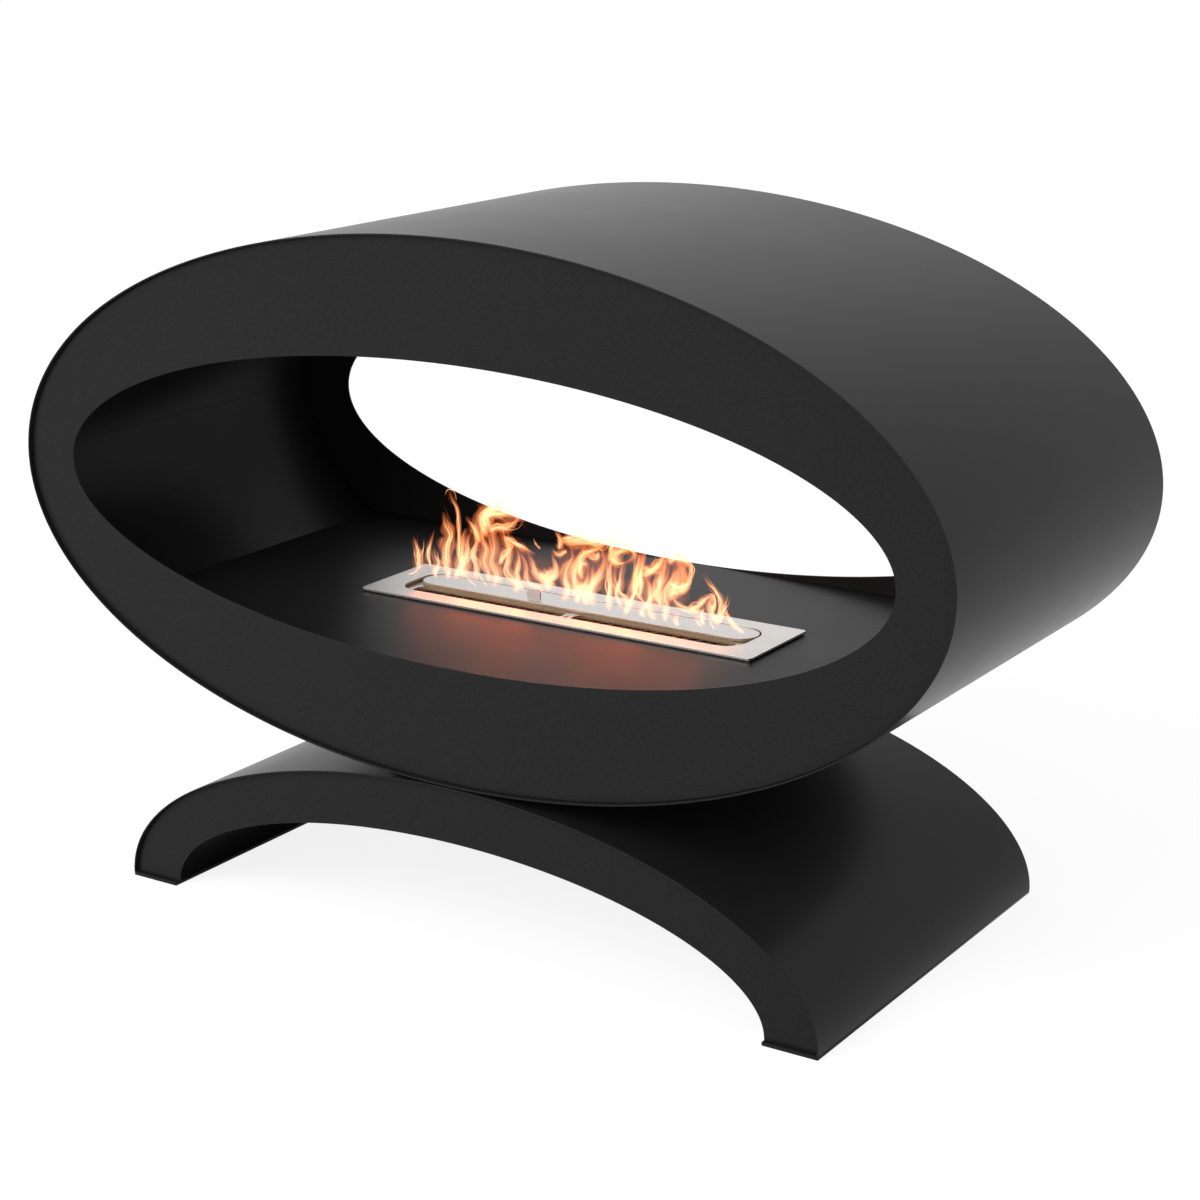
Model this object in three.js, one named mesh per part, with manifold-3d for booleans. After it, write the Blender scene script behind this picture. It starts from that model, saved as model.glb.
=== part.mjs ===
// Free-standing bioethanol fireplace: an elliptical sheet-steel body, open at the front and
// the rear, stands on an arched hollow base and holds a stainless burner in its floor.
// Millimetres, +Z up, front towards -Y. The origin is on the ground, under the middle.
import * as THREE from "three";
import { mergeVertices } from "three/addons/utils/BufferGeometryUtils.js";
import Module from "manifold-3d";

// ---------------------------------------------------------------- driving dimensions

// Clearances
const seatGap = 0.3; // between two pieces that rest on or are welded to each other
const slideGap = 1; // beside the shutter at both ends of its travel
const boltClearance = 0.5; // round a bolt's shank in a plate

// Body: a wrapped shell with a set-back plate at the front and at the rear
const bodyWidth = 900;
const bodyHeight = 450;
const bodyDepth = 400;
const shellSheet = 1.5;
const faceSheet = 2;
const faceSetback = 4.5;
const openingWidth = 800;
const openingHeight = 250;

// Floor of the body, with a folded edge at the front and at the rear
const floorSheet = 2;
const floorFold = 18;
const floorFoldInset = 6; // from the fold's ends to the shell
const floorBracketLeg = 24;
const floorBracketSheet = 2;
const floorBracketInset = 30; // from the shell's edges to the brackets' ends

// Base: an arch of two skins, with a set-back plate at the front and at the rear
const baseWidth = 700;
const baseDepth = bodyDepth; // flush with the body at the front and at the rear
const baseRise = 150; // from the top of the feet to the crown
const legWidth = 50;
const crownThickness = 50;
const skinSheet = 1.5;
const endPlateSheet = 2;
const endPlateSetback = 4.5;
const footThickness = 3;

// Joint between the base and the body: bolts in a row on the line where they meet
const boltRows = 4;
const boltInset = 80; // from the shell's edges to the first and last bolt
const boltRadius = 4;
const boltHeadAcross = 13;
const boltHeadHeight = 5.3;
const boltLength = 24;
const washerRadius = 8;
const washerThickness = 1.6;
const spacerRadius = 12;
const spacerThickness = 0.5;
const nutAcross = 13;
const nutHeight = 6.5;
const doublerWidth = 150;
const doublerInset = 50; // from the shell's edges to the plate's ends
const doublerSheet = 3;
const nutPlateWidth = 120;
const nutPlateInset = 50;
const nutPlateSheet = 4;
const saddleNear = 50; // from the middle to a saddle rail's thin edge
const saddleFar = 100;
const saddleInset = 60;

// Burner: a plate on the floor, with a window, and a deck and a fuel tank under it
const burnerLength = 400;
const burnerWidth = 97;
const burnerPlate = 3;
const burnerCorner = 3;
const windowEnd = 25; // from the plate's ends to the window
const windowSide = 18.5; // from the plate's sides to the window
const windowCorner = 20;
const landingEnd = 11; // of the deck, past the window's ends
const landingSide = 6; // of the deck, past the window's sides
const tankSheet = 1.5;
const tankCorner = 8;
const tankClearance = 12; // from the tank's lower ends to the shell
const cutoutMargin = 2; // round the tank in the floor

// Slots in the deck, end to end along the window's front
const slotBridge = 10; // between the two
const slotEnd = 10; // from the window's ends to the slots
const slotFront = 3; // from the window's front edge to the slots
const slotShade = 1; // of the slots' rear edges, under the parked shutter
const lipDepth = 4; // from the deck's top to the lower edge of a slot's rim
const lipSheet = 1;

// Diamond net of expanded metal under the slots
const netSheet = 1.2;
const netPitchX = 11;
const netPitchY = 10;
const netStrand = 1.6;
const netBorder = 2;

// Shutter: a plate that slides on the deck, drawn by an upright lug
const shutterEnd = 3; // from the window's ends to the shutter
const shutterOverlap = 8; // of the shutter's width over its travel
const shutterPlate = 2.4;
const shutterEndFlat = 1; // straight stretch in the middle of its round ends
const lugWidth = 14;
const lugHeight = 9;
const lugSheet = 2;
const lugCorner = 2;
const lugSetback = 3.5; // from the shutter's front edge
const lugPlace = -46; // along the shutter, from its middle

// Facets
const ovalSteps = 128; // round a full oval
const railSteps = 6; // across a saddle rail, and the fewest along a stretch of oval
const cornerSteps = 3; // in an eighth of a round corner's circle
const slotEndSteps = 5; // in an eighth of a slot's or the shutter's end
const holeSteps = 16; // round a bolt, a washer or a bore

// ---------------------------------------------------------------- levels and places

const baseFoot = footThickness + seatGap; // where the arch's skins start
const baseCrown = baseFoot + baseRise;
const standoff = spacerThickness + 2 * seatGap;
const bodyCentre = baseCrown + standoff + bodyHeight / 2;
const floorTop = bodyCentre - openingHeight / 2;
const faceOuter = bodyDepth / 2 - faceSetback;
const faceInner = faceOuter - faceSheet;
const burnerTop = floorTop + seatGap + burnerPlate;
const deckTop = floorTop;
const deckUnder = deckTop - tankSheet;
const boltPitch = (bodyDepth - 2 * boltInset) / (boltRows - 1);
const boltPlaces = Array.from({ length: boltRows }, (_, row) => boltPitch * (row - (boltRows - 1) / 2));

const windowLength = burnerLength - 2 * windowEnd;
const windowWidth = burnerWidth - 2 * windowSide;
const tankLength = windowLength + 2 * landingEnd;
const tankWidth = windowWidth + 2 * landingSide;
const tankTop = deckUnder - seatGap;
const shellShare = tankLength / (bodyWidth - 2 * shellSheet); // of the shell's inner width
const shellUnderTank = bodyCentre - (bodyHeight / 2 - shellSheet) * Math.sqrt(1 - shellShare ** 2);
const tankFoot = shellUnderTank + tankClearance;

const shutterTravel = (windowWidth - 2 * slideGap - shutterOverlap) / 2;
const shutterLength = windowLength - 2 * shutterEnd;
const shutterWidth = shutterTravel + shutterOverlap;
const shutterRear = windowWidth / 2 - slideGap;
const shutterFront = shutterRear - shutterWidth;
const slotLength = (windowLength - 2 * slotEnd - slotBridge) / 2;
const slotFrontEdge = -windowWidth / 2 + slotFront;
const slotRearEdge = shutterFront + slotShade;
const slotWidth = slotRearEdge - slotFrontEdge;
const slotMiddle = (slotRearEdge + slotFrontEdge) / 2;
const netColumns = Math.round((2 * slotLength + slotBridge) / netPitchX);
const netRows = Math.ceil(slotWidth / netPitchY);
const netTop = deckTop - lipDepth - seatGap;

const bodyOval = { halfWidth: bodyWidth / 2, halfHeight: bodyHeight / 2, centre: bodyCentre };
const openingOval = { halfWidth: openingWidth / 2, halfHeight: openingHeight / 2, centre: bodyCentre };
const archOval = { halfWidth: baseWidth / 2, halfHeight: baseRise, centre: baseFoot };
const underOval = {
  halfWidth: baseWidth / 2 - legWidth,
  halfHeight: baseRise - crownThickness,
  centre: baseFoot,
};

// ---------------------------------------------------------------- materials

const coatedSteel = { color: 0x323232, roughness: 0.45, metalness: 0.3 };
const stainless = { color: 0xc9c4bc, roughness: 0.35, metalness: 0.9 };
const netSteel = { color: 0x7a6450, roughness: 0.5, metalness: 0.8 };
const zincSteel = { color: 0xa9adb0, roughness: 0.4, metalness: 0.85 };
const ceramicWool = { color: 0xe4dfd2, roughness: 0.95, metalness: 0 };
const greyFibre = { color: 0x6d6a64, roughness: 0.9, metalness: 0 };

// ---------------------------------------------------------------- solids

const wasm = await Module();
wasm.setup();

/** The closed geometry as a solid that can be joined and cut. */
function solidOf(geometry) {
  const flat = geometry.index ? geometry.toNonIndexed() : geometry;
  const bare = new THREE.BufferGeometry();
  bare.setAttribute("position", flat.getAttribute("position"));
  const merged = mergeVertices(bare);
  return new wasm.Manifold(
    new wasm.Mesh({
      numProp: 3,
      vertProperties: new Float32Array(merged.getAttribute("position").array),
      triVerts: new Uint32Array(merged.index.array),
    }),
  );
}

/** The solid as a geometry. */
function geometryOf(solid) {
  const mesh = solid.getMesh();
  const geometry = new THREE.BufferGeometry();
  geometry.setAttribute("position", new THREE.BufferAttribute(mesh.vertProperties, 3));
  geometry.setIndex(new THREE.BufferAttribute(mesh.triVerts, 1));
  geometry.computeVertexNormals();
  return geometry;
}

/** The first geometry joined with the others. */
function joined(first, ...others) {
  return geometryOf(others.reduce((solid, other) => solid.add(solidOf(other)), solidOf(first)));
}

/** The first geometry cut by the others. */
function cut(first, ...tools) {
  return geometryOf(tools.reduce((solid, tool) => solid.subtract(solidOf(tool)), solidOf(first)));
}

/** The outline, in X and Z, drawn out along Y from one place to another. */
function extrudedAlongY(shape, fromY, toY) {
  const geometry = new THREE.ExtrudeGeometry(shape, {
    depth: toY - fromY,
    bevelEnabled: false,
    curveSegments: cornerSteps,
  });
  geometry.rotateX(Math.PI / 2);
  geometry.translate(0, toY, 0);
  return geometry;
}

/** The outline, in X and Y, drawn out upwards from one level to another. */
function extrudedUp(shape, fromZ, toZ, steps = cornerSteps) {
  const geometry = new THREE.ExtrudeGeometry(shape, {
    depth: toZ - fromZ,
    bevelEnabled: false,
    curveSegments: steps,
  });
  geometry.translate(0, 0, fromZ);
  return geometry;
}

/** An upright round bar or disc on the Z axis moved to x, y. */
function roundBar(radius, fromZ, toZ, x, y) {
  const geometry = new THREE.CylinderGeometry(radius, radius, toZ - fromZ, holeSteps);
  geometry.rotateX(Math.PI / 2);
  geometry.translate(x, y, (fromZ + toZ) / 2);
  return geometry;
}

/** An upright hexagonal bar, measured across its flats. */
function hexBar(across, fromZ, toZ, x, y) {
  const sides = 6;
  const radius = across / 2 / Math.cos(Math.PI / sides);
  const geometry = new THREE.CylinderGeometry(radius, radius, toZ - fromZ, sides);
  geometry.rotateX(Math.PI / 2);
  geometry.translate(x, y, (fromZ + toZ) / 2);
  return geometry;
}

/** A ring with a round bore, upright at x, y. */
function ring(radius, bore, fromZ, toZ, x, y) {
  const reach = boltClearance;
  return cut(roundBar(radius, fromZ, toZ, x, y), roundBar(bore, fromZ - reach, toZ + reach, x, y));
}

// ---------------------------------------------------------------- outlines

/** The point at an angle on the curve that runs inside the oval at an even distance. */
function insetPoint(oval, angle, inset) {
  const normalX = oval.halfHeight * Math.cos(angle);
  const normalZ = oval.halfWidth * Math.sin(angle);
  const length = Math.hypot(normalX, normalZ);
  return new THREE.Vector2(
    oval.halfWidth * Math.cos(angle) - (inset * normalX) / length,
    oval.centre + oval.halfHeight * Math.sin(angle) - (inset * normalZ) / length,
  );
}

/** Points along that curve between two angles, with the facets of a full oval. */
function insetArc(oval, fromAngle, toAngle, inset) {
  const share = Math.abs(toAngle - fromAngle) / (2 * Math.PI);
  const steps = Math.max(railSteps, Math.round(ovalSteps * share));
  return Array.from({ length: steps + 1 }, (_, step) =>
    insetPoint(oval, fromAngle + ((toAngle - fromAngle) * step) / steps, inset),
  );
}

/** The whole of that curve, without repeating its first point. */
function insetLoop(oval, inset) {
  return insetArc(oval, 0, 2 * Math.PI, inset).slice(0, -1);
}

/** The angle where that curve stands at a level, on the right-hand side. */
function angleAtLevel(oval, level, inset) {
  let low = -Math.PI / 2;
  let high = Math.PI / 2;
  const halvings = 40;
  for (let i = 0; i < halvings; i += 1) {
    const middle = (low + high) / 2;
    if (insetPoint(oval, middle, inset).y < level) {
      low = middle;
    } else {
      high = middle;
    }
  }
  return (low + high) / 2;
}

/** The sheet between two even distances inside the oval, from one angle to another. */
function bandOutline(oval, fromAngle, toAngle, outerInset, innerInset) {
  return new THREE.Shape([
    ...insetArc(oval, fromAngle, toAngle, outerInset),
    ...insetArc(oval, toAngle, fromAngle, innerInset),
  ]);
}

/** A rectangle with round corners, centred on x, y. */
function roundedOutline(length, width, corner, x = 0, y = 0, Kind = THREE.Shape) {
  const right = x + length / 2 - corner;
  const left = x - length / 2 + corner;
  const rear = y + width / 2 - corner;
  const front = y - width / 2 + corner;
  const outline = new Kind();
  outline.absarc(right, rear, corner, 0, Math.PI / 2);
  outline.absarc(left, rear, corner, Math.PI / 2, Math.PI);
  outline.absarc(left, front, corner, Math.PI, 1.5 * Math.PI);
  outline.absarc(right, front, corner, 1.5 * Math.PI, 2 * Math.PI);
  outline.closePath();
  return outline;
}

// ---------------------------------------------------------------- the group

const fireplace = new THREE.Group();

/** Adds a piece under its name, and returns it so that it can be turned. */
function addPiece(name, geometry, look) {
  const mesh = new THREE.Mesh(geometry, new THREE.MeshStandardMaterial(look));
  mesh.name = name;
  fireplace.add(mesh);
  return mesh;
}

// ---------------------------------------------------------------- body

/** The wrapped shell: an upper and a lower half that meet at the widest points. */
function addShell() {
  const seam = angleAtLevel(bodyOval, bodyCentre + seatGap / 2, 0);
  const upper = bandOutline(bodyOval, seam, Math.PI - seam, 0, shellSheet);
  const lower = bandOutline(bodyOval, Math.PI + seam, 2 * Math.PI - seam, 0, shellSheet);
  addPiece("shell_upper", extrudedAlongY(upper, -bodyDepth / 2, bodyDepth / 2), coatedSteel);
  addPiece("shell_lower", extrudedAlongY(lower, -bodyDepth / 2, bodyDepth / 2), coatedSteel);
}

/** The two oval plates that frame the opening, set back inside the shell's edges. */
function addFaces() {
  const outline = new THREE.Shape(insetLoop(bodyOval, shellSheet + seatGap));
  outline.holes.push(new THREE.Path(insetLoop(openingOval, 0)));
  addPiece("front_face", extrudedAlongY(outline, -faceOuter, -faceInner), coatedSteel);
  addPiece("rear_face", extrudedAlongY(outline, faceInner, faceOuter), coatedSteel);
}

/** Half the width inside the shell at a level, less a gap. */
function roomAtLevel(level) {
  const inset = shellSheet + seatGap;
  return insetPoint(bodyOval, angleAtLevel(bodyOval, level, inset), inset).x;
}

/** The floor: a flat sheet with its front and rear edges folded down, cut out for the tank. */
function addFloor() {
  const depth = 2 * (faceInner - seatGap);
  const under = floorTop - floorSheet;
  const halfLength = roomAtLevel(under);
  const foldLevel = floorTop - floorFold;
  const foldLength = 2 * (roomAtLevel(foldLevel) - floorFoldInset);
  const sheet = new THREE.BoxGeometry(2 * halfLength, depth, floorSheet);
  sheet.translate(0, 0, floorTop - floorSheet / 2);
  const folds = [-1, 1].map((side) => {
    const fold = new THREE.BoxGeometry(foldLength, floorSheet, floorFold);
    fold.translate(0, (side * (depth - floorSheet)) / 2, floorTop - floorFold / 2);
    return fold;
  });
  const hole = roundedOutline(
    tankLength + 2 * cutoutMargin,
    tankWidth + 2 * cutoutMargin,
    tankCorner + cutoutMargin,
  );
  const cutter = extrudedUp(hole, under - floorSheet, floorTop + floorSheet);
  addPiece("floor_plate", cut(joined(sheet, ...folds), cutter), coatedSteel);
}

/** The angles that carry the floor: one leg along the shell's wall, one under the sheet. */
function addFloorBrackets() {
  const top = floorTop - floorSheet - seatGap;
  const wall = shellSheet + seatGap;
  const inner = wall + floorBracketSheet;
  const foot = top - floorBracketLeg;
  const upperOuter = angleAtLevel(bodyOval, top, wall);
  const lowerOuter = angleAtLevel(bodyOval, foot, wall);
  const upperInner = angleAtLevel(bodyOval, top - floorBracketSheet, inner);
  const outline = new THREE.Shape([
    ...insetArc(bodyOval, lowerOuter, upperOuter, wall),
    new THREE.Vector2(insetPoint(bodyOval, upperOuter, wall).x - floorBracketLeg, top),
    new THREE.Vector2(
      insetPoint(bodyOval, upperOuter, wall).x - floorBracketLeg,
      top - floorBracketSheet,
    ),
    ...insetArc(bodyOval, upperInner, lowerOuter, inner),
  ]);
  const half = bodyDepth / 2 - floorBracketInset;
  addPiece("floor_bracket_right", extrudedAlongY(outline, -half, half), coatedSteel);
  const left = addPiece("floor_bracket_left", extrudedAlongY(outline, -half, half), coatedSteel);
  left.rotation.z = Math.PI;
}

// ---------------------------------------------------------------- base

/** The arch's two skins, its front and rear plates and its two feet. */
function addBase() {
  const half = baseDepth / 2;
  const outer = half - endPlateSetback;
  const inner = outer - endPlateSheet;
  const behind = inner - seatGap; // the underside skin ends behind the plates
  const topSkin = bandOutline(archOval, 0, Math.PI, 0, skinSheet);
  const underSkin = bandOutline(underOval, 0, Math.PI, -skinSheet, 0);
  addPiece("base_top_skin", extrudedAlongY(topSkin, -half, half), coatedSteel);
  addPiece("base_underside_skin", extrudedAlongY(underSkin, -behind, behind), coatedSteel);

  const endPlate = new THREE.Shape([
    ...insetArc(archOval, 0, Math.PI, skinSheet + seatGap),
    ...insetArc(underOval, Math.PI, 0, 0),
  ]);
  addPiece("base_front_plate", extrudedAlongY(endPlate, -outer, -inner), coatedSteel);
  addPiece("base_rear_plate", extrudedAlongY(endPlate, inner, outer), coatedSteel);

  for (const [name, side] of [["foot_plate_left", -1], ["foot_plate_right", 1]]) {
    const foot = new THREE.BoxGeometry(legWidth, baseDepth, footThickness);
    const mesh = addPiece(name, foot, coatedSteel);
    mesh.position.set((side * (baseWidth - legWidth)) / 2, 0, footThickness / 2);
  }
}

// ---------------------------------------------------------------- joint of body and base

/** Round bars through every bolt place, for cutting the bolts' holes. */
function boltCutters(fromZ, toZ) {
  return boltPlaces.map((y) => roundBar(boltRadius + boltClearance, fromZ, toZ, 0, y));
}

/** The curved plates inside the body and the base that spread the bolts' load. */
function addStiffeners() {
  const bodyInset = shellSheet + seatGap;
  const bodySpan = Math.asin(doublerWidth / bodyWidth);
  const doubler = bandOutline(
    bodyOval,
    1.5 * Math.PI - bodySpan,
    1.5 * Math.PI + bodySpan,
    bodyInset,
    bodyInset + doublerSheet,
  );
  const baseInset = skinSheet + seatGap;
  const baseSpan = Math.asin(nutPlateWidth / baseWidth);
  const nutPlate = bandOutline(
    archOval,
    Math.PI / 2 - baseSpan,
    Math.PI / 2 + baseSpan,
    baseInset,
    baseInset + nutPlateSheet,
  );
  const cutters = boltCutters(baseCrown - boltLength, baseCrown + boltLength);
  const doublerEnd = bodyDepth / 2 - doublerInset;
  const nutPlateEnd = baseDepth / 2 - nutPlateInset;
  const doublerSolid = extrudedAlongY(doubler, -doublerEnd, doublerEnd);
  const nutPlateSolid = extrudedAlongY(nutPlate, -nutPlateEnd, nutPlateEnd);
  addPiece("body_doubler_plate", cut(doublerSolid, ...cutters), coatedSteel);
  addPiece("base_nut_plate", cut(nutPlateSolid, ...cutters), coatedSteel);
}

/** The wedge-shaped rails that fill the space between body and base beside the bolts. */
function addSaddleRails() {
  const lower = [];
  const upper = [];
  for (let step = 0; step <= railSteps; step += 1) {
    const x = saddleNear + ((saddleFar - saddleNear) * step) / railSteps;
    lower.push(insetPoint(archOval, Math.acos(x / archOval.halfWidth), -seatGap));
    upper.push(insetPoint(bodyOval, -Math.acos(x / bodyOval.halfWidth), -seatGap));
  }
  const outline = new THREE.Shape([...lower, ...upper.reverse()]);
  const half = baseDepth / 2 - saddleInset;
  addPiece("saddle_rail_right", extrudedAlongY(outline, -half, half), coatedSteel);
  const left = addPiece("saddle_rail_left", extrudedAlongY(outline, -half, half), coatedSteel);
  left.rotation.z = Math.PI;
}

/** Bolts from inside the body into nuts welded inside the base. */
function addBolts() {
  const nutTop = baseCrown - skinSheet - seatGap - nutPlateSheet - seatGap;
  const spacerLow = baseCrown + seatGap;
  const washerLow = baseCrown + standoff + shellSheet + seatGap + doublerSheet + seatGap;
  const headLow = washerLow + washerThickness + seatGap;
  boltPlaces.forEach((y, row) => {
    const number = row + 1;
    const head = hexBar(boltHeadAcross, headLow, headLow + boltHeadHeight, 0, y);
    const shank = roundBar(boltRadius, headLow - boltLength, headLow + boltHeadHeight / 2, 0, y);
    const nut = hexBar(nutAcross, nutTop - nutHeight, nutTop, 0, y);
    const bore = boltRadius + seatGap;
    const nutBore = roundBar(bore, nutTop - 2 * nutHeight, nutTop + nutHeight, 0, y);
    const hole = boltRadius + boltClearance;
    addPiece(`joint_bolt_${number}`, joined(head, shank), zincSteel);
    addPiece(
      `joint_washer_${number}`,
      ring(washerRadius, hole, washerLow, washerLow + washerThickness, 0, y),
      zincSteel,
    );
    addPiece(
      `joint_spacer_${number}`,
      ring(spacerRadius, hole, spacerLow, spacerLow + spacerThickness, 0, y),
      greyFibre,
    );
    addPiece(`joint_nut_${number}`, cut(nut, nutBore), zincSteel);
  });
}

/** Cuts the bolts' holes in the two skins that the bolts pass through. */
function drillSkins() {
  const cutters = boltCutters(baseCrown - boltLength, baseCrown + boltLength);
  for (const name of ["shell_lower", "base_top_skin"]) {
    const mesh = fireplace.getObjectByName(name);
    mesh.geometry = cut(mesh.geometry, ...cutters);
  }
}

// ---------------------------------------------------------------- burner

/** Both slots of the deck as outlines, grown by a margin. */
function slotOutlines(margin) {
  const width = slotWidth + 2 * margin;
  return [-1, 1].map((side) =>
    roundedOutline(
      slotLength + 2 * margin,
      width,
      width / 2,
      (side * (slotLength + slotBridge)) / 2,
      slotMiddle,
    ),
  );
}

/** The visible plate, with a long window for the shutter to move in. */
function addBurnerPlate() {
  const outline = roundedOutline(burnerLength, burnerWidth, burnerCorner);
  outline.holes.push(roundedOutline(windowLength, windowWidth, windowCorner, 0, 0, THREE.Path));
  const plate = extrudedUp(outline, floorTop + seatGap, burnerTop);
  addPiece("burner_top_plate", plate, stainless);
}

/** The deck under the window, with two slots whose rims are drawn down. */
function addDeck() {
  const deck = extrudedUp(roundedOutline(tankLength, tankWidth, tankCorner), deckUnder, deckTop);
  const lipFoot = deckTop - lipDepth;
  const rims = slotOutlines(lipSheet).map((outline) =>
    extrudedUp(outline, lipFoot, deckTop - tankSheet / 2, slotEndSteps),
  );
  const slots = slotOutlines(0).map((outline) =>
    extrudedUp(outline, lipFoot - lipDepth, deckTop + lipDepth, slotEndSteps),
  );
  addPiece("burner_deck", cut(joined(deck, ...rims), ...slots), stainless);
}

/** The open-topped fuel tank. */
function addTank() {
  const outer = extrudedUp(roundedOutline(tankLength, tankWidth, tankCorner), tankFoot, tankTop);
  const hollow = roundedOutline(
    tankLength - 2 * tankSheet,
    tankWidth - 2 * tankSheet,
    tankCorner - tankSheet,
  );
  const inner = extrudedUp(hollow, tankFoot + tankSheet, tankTop + tankSheet);
  addPiece("burner_tank", cut(outer, inner), stainless);
}

/** One diamond gap of the net, centred on x, y. */
function diamond(x, y) {
  const reachX = (netPitchX - netStrand * Math.SQRT2) / 2;
  const reachY = (netPitchY - netStrand) / 2;
  const corners = [[reachX, 0], [0, reachY], [-reachX, 0], [0, -reachY]];
  return new THREE.Path(corners.map(([dx, dy]) => new THREE.Vector2(x + dx, y + dy)));
}

/** The net of expanded metal under the slots, in straight and staggered rows of diamonds. */
function addNet() {
  const length = netColumns * netPitchX + 2 * netBorder;
  const width = netRows * netPitchY + 2 * netBorder;
  const outline = roundedOutline(length, width, netBorder, 0, slotMiddle);
  for (let half = 0; half < 2 * netRows - 1; half += 1) {
    const staggered = half % 2;
    const y = slotMiddle + (netPitchY * (half + 1)) / 2 - (netPitchY * netRows) / 2;
    for (let column = 0; column < netColumns - staggered; column += 1) {
      const x = netPitchX * (column + (1 + staggered) / 2 - netColumns / 2);
      outline.holes.push(diamond(x, y));
    }
  }
  addPiece("burner_net", extrudedUp(outline, netTop - netSheet, netTop), netSteel);
}

/** The ceramic wool that fills the tank and holds the fuel. */
function addWool() {
  const side = tankSheet + seatGap;
  const outline = roundedOutline(tankLength - 2 * side, tankWidth - 2 * side, tankCorner - side);
  const low = tankFoot + tankSheet + seatGap;
  const high = netTop - netSheet - seatGap;
  addPiece("burner_wool", extrudedUp(outline, low, high), ceramicWool);
}

/** The shutter, parked at the rear of the window, and the lug that draws it forward. */
function addShutter() {
  const middle = (shutterRear + shutterFront) / 2;
  const corner = (shutterWidth - shutterEndFlat) / 2;
  const low = deckTop + seatGap;
  const high = low + shutterPlate;
  const outline = roundedOutline(shutterLength, shutterWidth, corner, 0, middle);
  addPiece("shutter_plate", extrudedUp(outline, low, high, slotEndSteps), stainless);

  const lugFront = shutterFront + lugSetback;
  const lugLevel = high + seatGap + lugHeight / 2;
  const lugOutline = roundedOutline(lugWidth, lugHeight, lugCorner, lugPlace, lugLevel);
  addPiece("shutter_lug", extrudedAlongY(lugOutline, lugFront, lugFront + lugSheet), stainless);
}

// ---------------------------------------------------------------- assembly

addShell();
addFaces();
addFloor();
addFloorBrackets();
addBase();
addStiffeners();
addSaddleRails();
addBolts();
drillSkins();
addBurnerPlate();
addDeck();
addTank();
addNet();
addWool();
addShutter();

export default fireplace;
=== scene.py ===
"""Free-standing bioethanol fireplace: rolled sheet steel in satin black, and a lit stainless burner.

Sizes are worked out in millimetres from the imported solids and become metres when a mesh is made.
"""

import math
from collections import namedtuple

import bmesh
import bpy
import numpy as np
from mathutils import Matrix, Vector


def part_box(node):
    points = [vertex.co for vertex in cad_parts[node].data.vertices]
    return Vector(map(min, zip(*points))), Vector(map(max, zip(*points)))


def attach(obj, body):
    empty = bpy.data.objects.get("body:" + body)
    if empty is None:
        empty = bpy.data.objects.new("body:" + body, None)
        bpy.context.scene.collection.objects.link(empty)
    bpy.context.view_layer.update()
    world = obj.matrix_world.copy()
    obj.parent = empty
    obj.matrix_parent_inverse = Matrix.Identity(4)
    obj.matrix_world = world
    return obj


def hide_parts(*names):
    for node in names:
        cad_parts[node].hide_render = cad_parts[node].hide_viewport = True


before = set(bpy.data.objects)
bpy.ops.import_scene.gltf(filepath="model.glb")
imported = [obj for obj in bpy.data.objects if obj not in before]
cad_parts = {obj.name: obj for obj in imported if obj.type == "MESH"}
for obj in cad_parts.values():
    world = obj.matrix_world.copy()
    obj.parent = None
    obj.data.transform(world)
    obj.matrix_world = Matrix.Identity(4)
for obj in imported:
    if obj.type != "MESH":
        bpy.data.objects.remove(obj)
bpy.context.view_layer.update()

bl_info = {
    "name": "Bioethanol hearth",
    "version": (1, 0, 0),
    "blender": (4, 5, 0),
    "location": "3D View > Sidebar > Hearth",
    "description": "Dresses a sheet-steel hearth, its burner, its flames and its stage",
    "category": "Add Mesh",
}

MM = 0.001


# ---------------------------------------------------------------- places, read from the solids


def box_mm(node):
    """The lowest and the highest corner of a solid, in millimetres."""
    low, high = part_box(node)
    return np.array(low) / MM, np.array(high) / MM


UPPER_HIGH = box_mm("shell_upper")[1]
LOWER_LOW = box_mm("shell_lower")[0]
SKIN_LOW, SKIN_HIGH = box_mm("base_top_skin")
FLOOR_TOP = box_mm("floor_plate")[1][2]
PLATE_LOW, PLATE_HIGH = box_mm("burner_top_plate")
DECK_LOW, DECK_HIGH = box_mm("burner_deck")
NET_LOW, NET_HIGH = box_mm("burner_net")
SHUTTER_LOW, SHUTTER_HIGH = box_mm("shutter_plate")

Oval = namedtuple("Oval", "half_width half_height centre")
BODY = Oval(
    UPPER_HIGH[0], (UPPER_HIGH[2] - LOWER_LOW[2]) / 2, (UPPER_HIGH[2] + LOWER_LOW[2]) / 2)
ARCH = Oval(SKIN_HIGH[0], SKIN_HIGH[2] - SKIN_LOW[2], SKIN_LOW[2])


# ---------------------------------------------------------------- sizes and colours a user may change


def length(name, description, default):
    """A length, given here in millimetres."""
    return bpy.props.FloatProperty(
        name=name, description=description, default=default * MM, unit="LENGTH")


def count(name, description, default):
    """A number of facets."""
    return bpy.props.IntProperty(name=name, description=description, default=default)


def hex_colour(name, description, default):
    """A colour kept as sRGB hex, such as 2B2B2C."""
    return bpy.props.StringProperty(name=name, description=description, default=default)


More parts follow.
